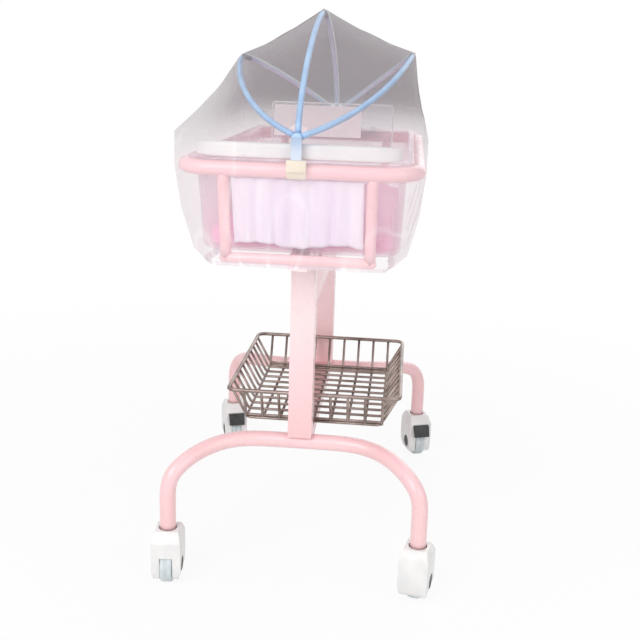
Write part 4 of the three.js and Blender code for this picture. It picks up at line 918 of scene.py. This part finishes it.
CLOTH_ROWS = 25
CLOTH_COLUMNS = 181
CLOTH_INSET = 0.001
CLOTH_DROP = 0.124
CLOTH_FOLDS = 7
CLOTH_DEPTH = (0.0018, 0.00252)  # of the folds at the top, and how much more at the hem
CLOTH_WAVES = (
    # size, waves a fold, start, drift from the top to the hem
    (1.0, 1.0, 0.0, 0.0),
    (0.35, 0.5, 1.3, 0.0),
    (0.25, 1.7, 0.0, 2.0),
)
CLOTH_HEM_WAVE = 0.004
CLOTH_SWAY = 0.0015
CLOTH_THICKNESS = 0.0012


def post_reach(height):
    slope = (RAIL_HALF_LENGTH - BOTTOM_RAIL_REACH) / (RAIL_HEIGHT - BOTTOM_RAIL_HEIGHT)
    return BOTTOM_RAIL_REACH + (height - BOTTOM_RAIL_HEIGHT) * slope


def add_end_cloth():
    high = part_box("end_cloth")[1]
    down, along = np.meshgrid(np.linspace(0, 1, CLOTH_ROWS), np.linspace(0, 1, CLOTH_COLUMNS), indexing="ij")
    phase = along * CLOTH_FOLDS * 2 * math.pi
    fold = 0.0
    for size, waves, start, drift in CLOTH_WAVES:
        fold = fold + size * np.sin(waves * phase + start + drift * down)
    x = (high[0] - CLOTH_INSET) * (2 * along - 1) + CLOTH_SWAY * down * np.cos(phase)
    z = high[2] - CLOTH_DROP * down + CLOTH_HEM_WAVE * down * np.sin(along * math.pi * 3)
    y = -post_reach(z) + (CLOTH_DEPTH[0] + CLOTH_DEPTH[1] * down) * fold
    part = np.stack([x, y, z], axis=2).reshape(-1, 3), grid_faces(CLOTH_ROWS, CLOTH_COLUMNS)
    cloth = new_object("end_cloth_pleats", part, "lilac_cloth", closed=False)
    solid = cloth.modifiers.new("thickness", "SOLIDIFY")
    solid.thickness = CLOTH_THICKNESS
    solid.offset = 0.0
    dress(cloth, "lilac_cloth", "end_cloth")


PLATE_THICKNESS = 0.004
PLATE_BEVEL = 0.0008
EDGE_RADIUS = 0.0018
EDGE_CORNER = 0.006
CARD_MARGIN = 0.008
CARD_FAR_SIDE = 0.226
CARD_LOW_SIDE = 0.084
CARD_THICKNESS = 0.0006
CARD_GAP = 0.0004
CARD_BEVEL = 0.0002


def add_head_plate():
    refined("head_plate", "clear_plastic", PLATE_BEVEL, segments=2)
    low, high = (np.array(corner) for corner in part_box("head_plate"))
    left, right = low[0] + CARD_MARGIN, low[0] + CARD_FAR_SIDE
    front, back = low[1] - CARD_THICKNESS - CARD_GAP, low[1] - CARD_GAP
    outline = ((left, front), (right, front), (right, back), (left, back))
    heights = (high[2] - CARD_LOW_SIDE, high[2] - CARD_MARGIN)
    part = loft([[(x, y, z) for x, y in outline] for z in heights])
    card = piece("blank_card", part, "clear_plastic", material="white_card")
    card.data.polygons.foreach_set("use_smooth", [False] * len(card.data.polygons))
    card.modifiers.new("edge", "BEVEL").width = CARD_BEVEL
    middle, half = (low + high) / 2, (high - low) / 2 - EDGE_RADIUS
    ring = ring_at(half[[0, 2]], EDGE_CORNER, low[1] + PLATE_THICKNESS / 2, count=96)
    path = ring[:, [0, 2, 1]] + (middle[0], 0, middle[2])
    edge = sweep(path, EDGE_RADIUS, sides=10, closed=True)
    piece("head_plate_edge", edge, "clear_plastic", material="white_card")


# Canopy bows and hubs
EYE_PROFILE = ((0.0043, -0.0055), (0.0080, -0.0055), (0.0090, -0.0045))  # half of it, as radius and place
HUB_EDGE = 0.0012
CLAMP_EDGE = 0.0009


def bow_line(name, shares):
    """Points of a bow and its outward directions in its own plane."""
    inset, lean = BOW_INSET[name], BOW_LEAN[name]
    angles = np.asarray(shares, float) * math.pi
    power = 2 / BOW_ROUNDNESS
    along = np.cos(angles)
    y = -(BOW_END - inset) * np.sign(along) * np.abs(along) ** power
    rise = BOW_STUB + (BOW_RISE - inset - BOW_STUB) * np.clip(np.sin(angles), 0, 1) ** power
    tilt = lean + math.copysign(BOW_SPLAY, lean) * (lean != 0) * np.clip(along, 0, 1) ** 2
    points = np.stack([rise * np.sin(tilt), y, PIVOT + rise * np.cos(tilt)], axis=1)
    tangents = unit(np.stack([np.gradient(y), np.gradient(rise)], axis=1))
    out_rise, out_y = tangents[:, 0], -tangents[:, 1]
    outward = np.stack([out_rise * np.sin(tilt), out_y, out_rise * np.cos(tilt)], axis=1)
    return points, outward


def add_bows():
    for name in BOW_LEAN:
        points, _ = bow_line(name, np.linspace(0, 1, BOW_STEPS))
        end = BOW_END - BOW_INSET[name]
        roots = np.array([(0, -end, PIVOT), (0, end, PIVOT)])
        feet = roots + (points[[0, -1]] - roots) * BOW_FOOT
        parts = [sweep(np.concatenate([feet[:1], points, feet[1:]]), BOW_RADIUS, sides=20)]
        for root in roots:
            place = Matrix.Translation(root) @ Matrix.Rotation(math.pi / 2, 4, "X")
            parts.append(moved(lathe(mirrored(EYE_PROFILE), sides=40), place))
        piece(f"{name}_bow_rod", joined(parts), "blue_plastic", f"{name}_bow")


def add_hubs():
    for end in ENDS:
        refined(f"{end}_pivot_hub", "blue_plastic", HUB_EDGE, material="pale_blue_plastic")
        refined(f"{end}_rail_clamp", "amber_plastic", CLAMP_EDGE, segments=2)


# Net canopy
NET_COLUMNS = 25
TOP_SHARES = np.linspace(NET_FROM, 1 - NET_FROM, 97)
SIDE_FROM = 0.012
SIDE_SHARES = np.linspace(SIDE_FROM, 1 - SIDE_FROM, 161)
FAN_EVEN = 0.12
FAN_POWER = 2.86
MAP_SHIFT = 10.0  # keeps the dark seam off the sheets that have none
NET_CREASES = (
    # depth, turns along, turns across, start
    (0.0008, 38, 9, 0.0),
    (0.0006, 61, -14, 1.0),
)


def gathered(seam_shares):
    """Shares of a bow that hold these shares of the seam: its crown holds most of the side."""
    from_middle = 2 * np.asarray(seam_shares, float) - 1
    size = np.abs(from_middle)
    return (1 + np.sign(from_middle) * (FAN_EVEN * size + (1 - FAN_EVEN) * size ** FAN_POWER)) / 2


def crest(name, shares=TOP_SHARES):
    points, outward = bow_line(name, shares)
    return points + outward * (BOW_RADIUS + NET_LIFT)


def seam_line(sign):
    ring = SIDE_SHARES / 2 if sign > 0 else 1 - SIDE_SHARES / 2
    flat, _ = rounded_rectangle(*SEAM_HALF, SEAM_CORNER, ring)
    return np.column_stack([flat, np.full(len(flat), SEAM)])


def panel_grid(start, end):
    """Rows of points from one line to another, sagging towards the middle of the hood, with fine creases."""
    across = np.linspace(0, 1, NET_COLUMNS)
    grid = start[:, None, :] * (1 - across)[None, :, None] + end[:, None, :] * across[None, :, None]
    inward = -grid.copy()
    inward[..., 1] = 0
    inward[..., 2] += NET_SAG_TO
    along = np.linspace(0, 1, len(start))[:, None]
    belly = np.sin(math.pi * across)[None, :]
    depth = NET_SAG * belly * np.sin(math.pi * along)
    for size, turns_along, turns_across, first in NET_CREASES:
        depth = depth + size * belly * np.sin(turns_along * along + turns_across * across + first)
    return grid + unit(inward) * depth[..., None]


def add_map(obj, name, u, v, around=None):
    """A texture map, one pair a vertex; a sheet that closes on itself gives its way around."""
    layer = obj.data.uv_layers.new(name=name)
    index = np.empty(len(obj.data.loops), int)
    obj.data.loops.foreach_get("vertex_index", index)
    u, v = np.ravel(u)[index], np.ravel(v)[index]
    if around:
        quads = u.reshape(-1, 4)
        wraps = np.ptp(quads, axis=1) > around / 2
        quads[wraps] += around * (quads[wraps] < quads[wraps].mean(axis=1, keepdims=True))
    layer.data.foreach_set("uv", np.column_stack([u, v]).ravel())


def add_maps(obj, along, across, distance, around=None):
    """The map of the sheet in metres, and the map of the distance from the nearest bow's line."""
    add_map(obj, "sheet", along, across, around)
    add_map(obj, "bow", distance, np.zeros_like(distance))


def from_last(grid):
    """Distance of each point from the last line of the grid."""
    steps = np.linalg.norm(np.diff(grid, axis=1), axis=2)
    walked = np.concatenate([np.zeros((len(grid), 1)), np.cumsum(steps, axis=1)], axis=1)
    return walked[:, -1:] - walked


def spread(grid):
    """Longest way along a panel and longest way across it."""
    along = np.linalg.norm(np.diff(grid, axis=0), axis=2).sum(axis=0).max()
    return along, from_last(grid)[:, 0].max()


def row_lengths(grid):
    """Mean way from the first line of the grid to each line."""
    steps = np.linalg.norm(np.diff(grid, axis=1), axis=2).mean(axis=0)
    return np.concatenate([[0], np.cumsum(steps)])


def panel_maps(grid, bows, shift=0.0):
    """The way along a panel from its middle, the way across it and the way to the nearest of its bows."""
    along = row_lengths(grid.transpose(1, 0, 2))
    along = along - along[len(along) // 2] + shift
    distance = from_last(grid)
    if bows == 2:
        distance = np.minimum(distance, from_last(grid[:, ::-1])[:, ::-1])
    return [*np.meshgrid(along, row_lengths(grid) + 2 * NET_HEM, indexing="ij"), distance]


SKIRT_LEVELS = (
    # height, half width, half length, depth of folds, corner
    (0.664, 0.161, 0.4012, 0.0035, 0.024),
    (0.6868, 0.1925, 0.4068, 0.0055, 0.062),
    (0.764, 0.2130, 0.4280, 0.0045, 0.062),
    (RAIL_HEIGHT, *SEAM_HALF, 0.0004, SEAM_CORNER),
    (SEAM, *SEAM_HALF, 0.0, SEAM_CORNER),
)
SKIRT_ROWS = 41
SKIRT_STEPS = 221  # round the part that has no side panel above it
SKIRT_FOLDS = 12
FOLD_SHARE = 0.35
SKIRT_PLEATS = 31
PLEAT_SHARE = 0.15
PLEAT_DRIFT = 7.5  # in radians, from the seam down to the hem
RUFFLES = 74
RUFFLE_DEPTH = 0.0015
RUFFLE_TOP = 0.69


def skirt_grid(ring_shares):
    keys = np.array(SKIRT_LEVELS)
    hem = keys[0, 0]
    turn = 2 * math.pi * ring_shares
    rows = []
    for z in np.linspace(hem, SEAM, SKIRT_ROWS):
        half_x, half_y, fold, corner = (np.interp(z, keys[:, 0], keys[:, i]) for i in (1, 2, 3, 4))
        flat, outward = rounded_rectangle(half_x, half_y, corner, ring_shares)
        drift = PLEAT_DRIFT * (z - SEAM) / (SEAM - hem)
        push = FOLD_SHARE * (1 + np.cos(SKIRT_FOLDS * turn))
        push = push + PLEAT_SHARE * (1 + np.cos(SKIRT_PLEATS * turn + drift))
        ruffle = RUFFLE_DEPTH * np.clip((RUFFLE_TOP - z) / (RUFFLE_TOP - hem), 0, 1) * np.sin(RUFFLES * turn)
        flat = flat + outward * (fold * push + ruffle)[:, None]
        rows.append(np.column_stack([flat, np.full(len(flat), z)]))
    return np.array(rows)


def hung_net():
    """Skirt and right side panel in one sheet: the panel grows out of the skirt's upper edge."""
    rest = np.linspace(SIDE_SHARES[-1] / 2, 1 + SIDE_SHARES[0] / 2, SKIRT_STEPS)[1:-1]
    ring = np.concatenate([SIDE_SHARES / 2, rest])
    skirt = skirt_grid(ring % 1.0)
    panel = panel_grid(seam_line(1), crest("right", gathered(SIDE_SHARES)))
    around, rows = len(ring), len(SIDE_SHARES)
    verts = np.concatenate([skirt.reshape(-1, 3), panel[:, 1:].transpose(1, 0, 2).reshape(-1, 3)])
    upper_edge = np.arange(rows) + (SKIRT_ROWS - 1) * around
    panel_verts = np.concatenate([upper_edge, np.arange(SKIRT_ROWS * around, len(verts))])
    part = verts, ring_faces(SKIRT_ROWS, around) + quads(panel_verts.reshape(NET_COLUMNS, rows))
    obj = new_object("net_skirt_sheet", part, "net", closed=False)
    length = np.linalg.norm(skirt[-1] - np.roll(skirt[-1], 1, axis=0), axis=1).sum()
    drop = row_lengths(skirt.transpose(1, 0, 2))
    u = np.concatenate([np.tile(ring * length, SKIRT_ROWS), np.tile(ring[:rows] * length, NET_COLUMNS - 1)])
    v = np.concatenate([np.repeat(drop, around), np.repeat(drop[-1] + row_lengths(panel)[1:], rows)])
    distance = np.concatenate([np.ones(SKIRT_ROWS * around), from_last(panel)[:, 1:].T.ravel()])
    add_maps(obj, u + MAP_SHIFT, v, distance, around=length)
    dress(obj, "net", "net_skirt", "net_right_side")
    return obj, (length, drop[-1] + spread(panel)[1])


COLLAR_COLUMNS = 20  # of the left side's columns, from the seam up; they stay with the frame when the bows fold away


def add_net():
    side = panel_grid(seam_line(-1), crest("left", gathered(SIDE_SHARES)))
    side_maps = panel_maps(side, 1, MAP_SHIFT)
    top_left = panel_grid(crest("left"), crest("middle"))
    top_right = panel_grid(crest("middle"), crest("right"))
    collar, strip = slice(0, COLLAR_COLUMNS + 1), slice(COLLAR_COLUMNS, None)
    grids = {
        "net_left_collar": (side[:, collar], [layer[:, collar] for layer in side_maps]),
        "net_left_panel": (side[:, strip], [layer[:, strip] for layer in side_maps]),
        "net_top_left_panel": (top_left, panel_maps(top_left, 2)),
        "net_top_right_panel": (top_right, panel_maps(top_right, 2)),
    }
    panels = {}
    for name, (grid, maps) in grids.items():
        part = grid.reshape(-1, 3), grid_faces(*grid.shape[:2])
        panels[name] = new_object(name, part, "net", closed=False)
        add_maps(panels[name], *maps)
    dress(panels["net_left_collar"], "net")
    dress(panels["net_left_panel"], "net", "net_left_side")
    dress(panels["net_top_left_panel"], "net", "net_left_top")
    dress(panels["net_top_right_panel"], "net", "net_right_top")
    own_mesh(panels["net_left_collar"])
    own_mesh(panels["net_left_panel"])
    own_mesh(panels["net_top_left_panel"])
    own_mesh(panels["net_top_right_panel"])
    sheets = [hung_net()] + [(panels[name], spread(grid)) for name, (grid, _) in grids.items()]
    for obj, flat in sheets:
        obj.visible_shadow = False  # an open mesh lets nearly all light in


# Floor, light and camera
FLOOR_CORNERS = ((-6, -6, 0), (6, -6, 0), (6, 6, 0), (-6, 6, 0))
WORLD_COLOR = (1.0, 0.99, 0.98, 1.0)
WORLD_LIGHT = 0.46
LAMPS = {
    # name: place, size, watts
    "key": ((-1.2, -2.5, 2.1), 1.8, 47.0),
    "fill": ((2.0, -1.9, 1.5), 2.0, 19.0),
    "top": ((0.2, 0.4, 3.0), 2.4, 16.0),
    "back": ((0.9, 2.8, 1.7), 2.0, 16.0),
}
LAMP_AIM = Vector((0.0, 0.0, 0.6))


def add_stage():
    floor = new_object("floor", (FLOOR_CORNERS, [(0, 1, 2, 3)]), "floor_white", closed=False)


def add_world():
    """Soft light from all round; seen directly it is plain white."""
    world = bpy.data.worlds.new("studio")
    bpy.context.scene.world = world
    graph = Graph(world)
    soft = graph.nodes["Background"]
    soft.inputs["Color"].default_value = WORLD_COLOR
    soft.inputs["Strength"].default_value = WORLD_LIGHT
    white = graph.node("Background", {"Color": WHITE})
    graph.surface("World Output", graph.seen_directly(), soft.outputs[0], white.outputs[0])


def add_lamps():
    for name, (place, size, watts) in LAMPS.items():
        light = bpy.data.lights.new(name, "AREA")
        light.size = size
        light.energy = watts
        lamp = bpy.data.objects.new(name, light)
        lamp.location = place
        lamp.rotation_euler = (LAMP_AIM - Vector(place)).to_track_quat("-Z", "Y").to_euler()
        bpy.context.scene.collection.objects.link(lamp)


def add_camera():
    data = bpy.data.cameras.new("camera")
    data.lens = CAMERA_LENS
    data.sensor_width = CAMERA_SENSOR
    camera = bpy.data.objects.new("camera", data)
    level = Vector((math.cos(CAMERA_YAW), math.sin(CAMERA_YAW), 0.0))
    ahead = Vector((-math.sin(CAMERA_YAW), math.cos(CAMERA_YAW), 0.0))
    forward = ahead * math.cos(CAMERA_PITCH) + Vector((0.0, 0.0, math.sin(CAMERA_PITCH)))
    upright = level.cross(forward)
    right = level * math.cos(CAMERA_ROLL) + upright * math.sin(CAMERA_ROLL)
    up = upright * math.cos(CAMERA_ROLL) - level * math.sin(CAMERA_ROLL)
    turn = Matrix((right, up, -forward)).transposed().to_4x4()
    camera.matrix_world = Matrix.Translation(CAMERA_PLACE) @ turn
    bpy.context.scene.collection.objects.link(camera)
    bpy.context.scene.camera = camera


add_camera()
add_world()
add_lamps()
add_stage()
add_arches()
add_box_tubes()
add_rails()
add_basket()
add_casters()
add_basin()
add_bumper()
add_mattress()
add_end_cloth()
add_head_plate()
add_bows()
add_hubs()
add_net()
bpy.context.scene.view_settings.view_transform = "Standard"
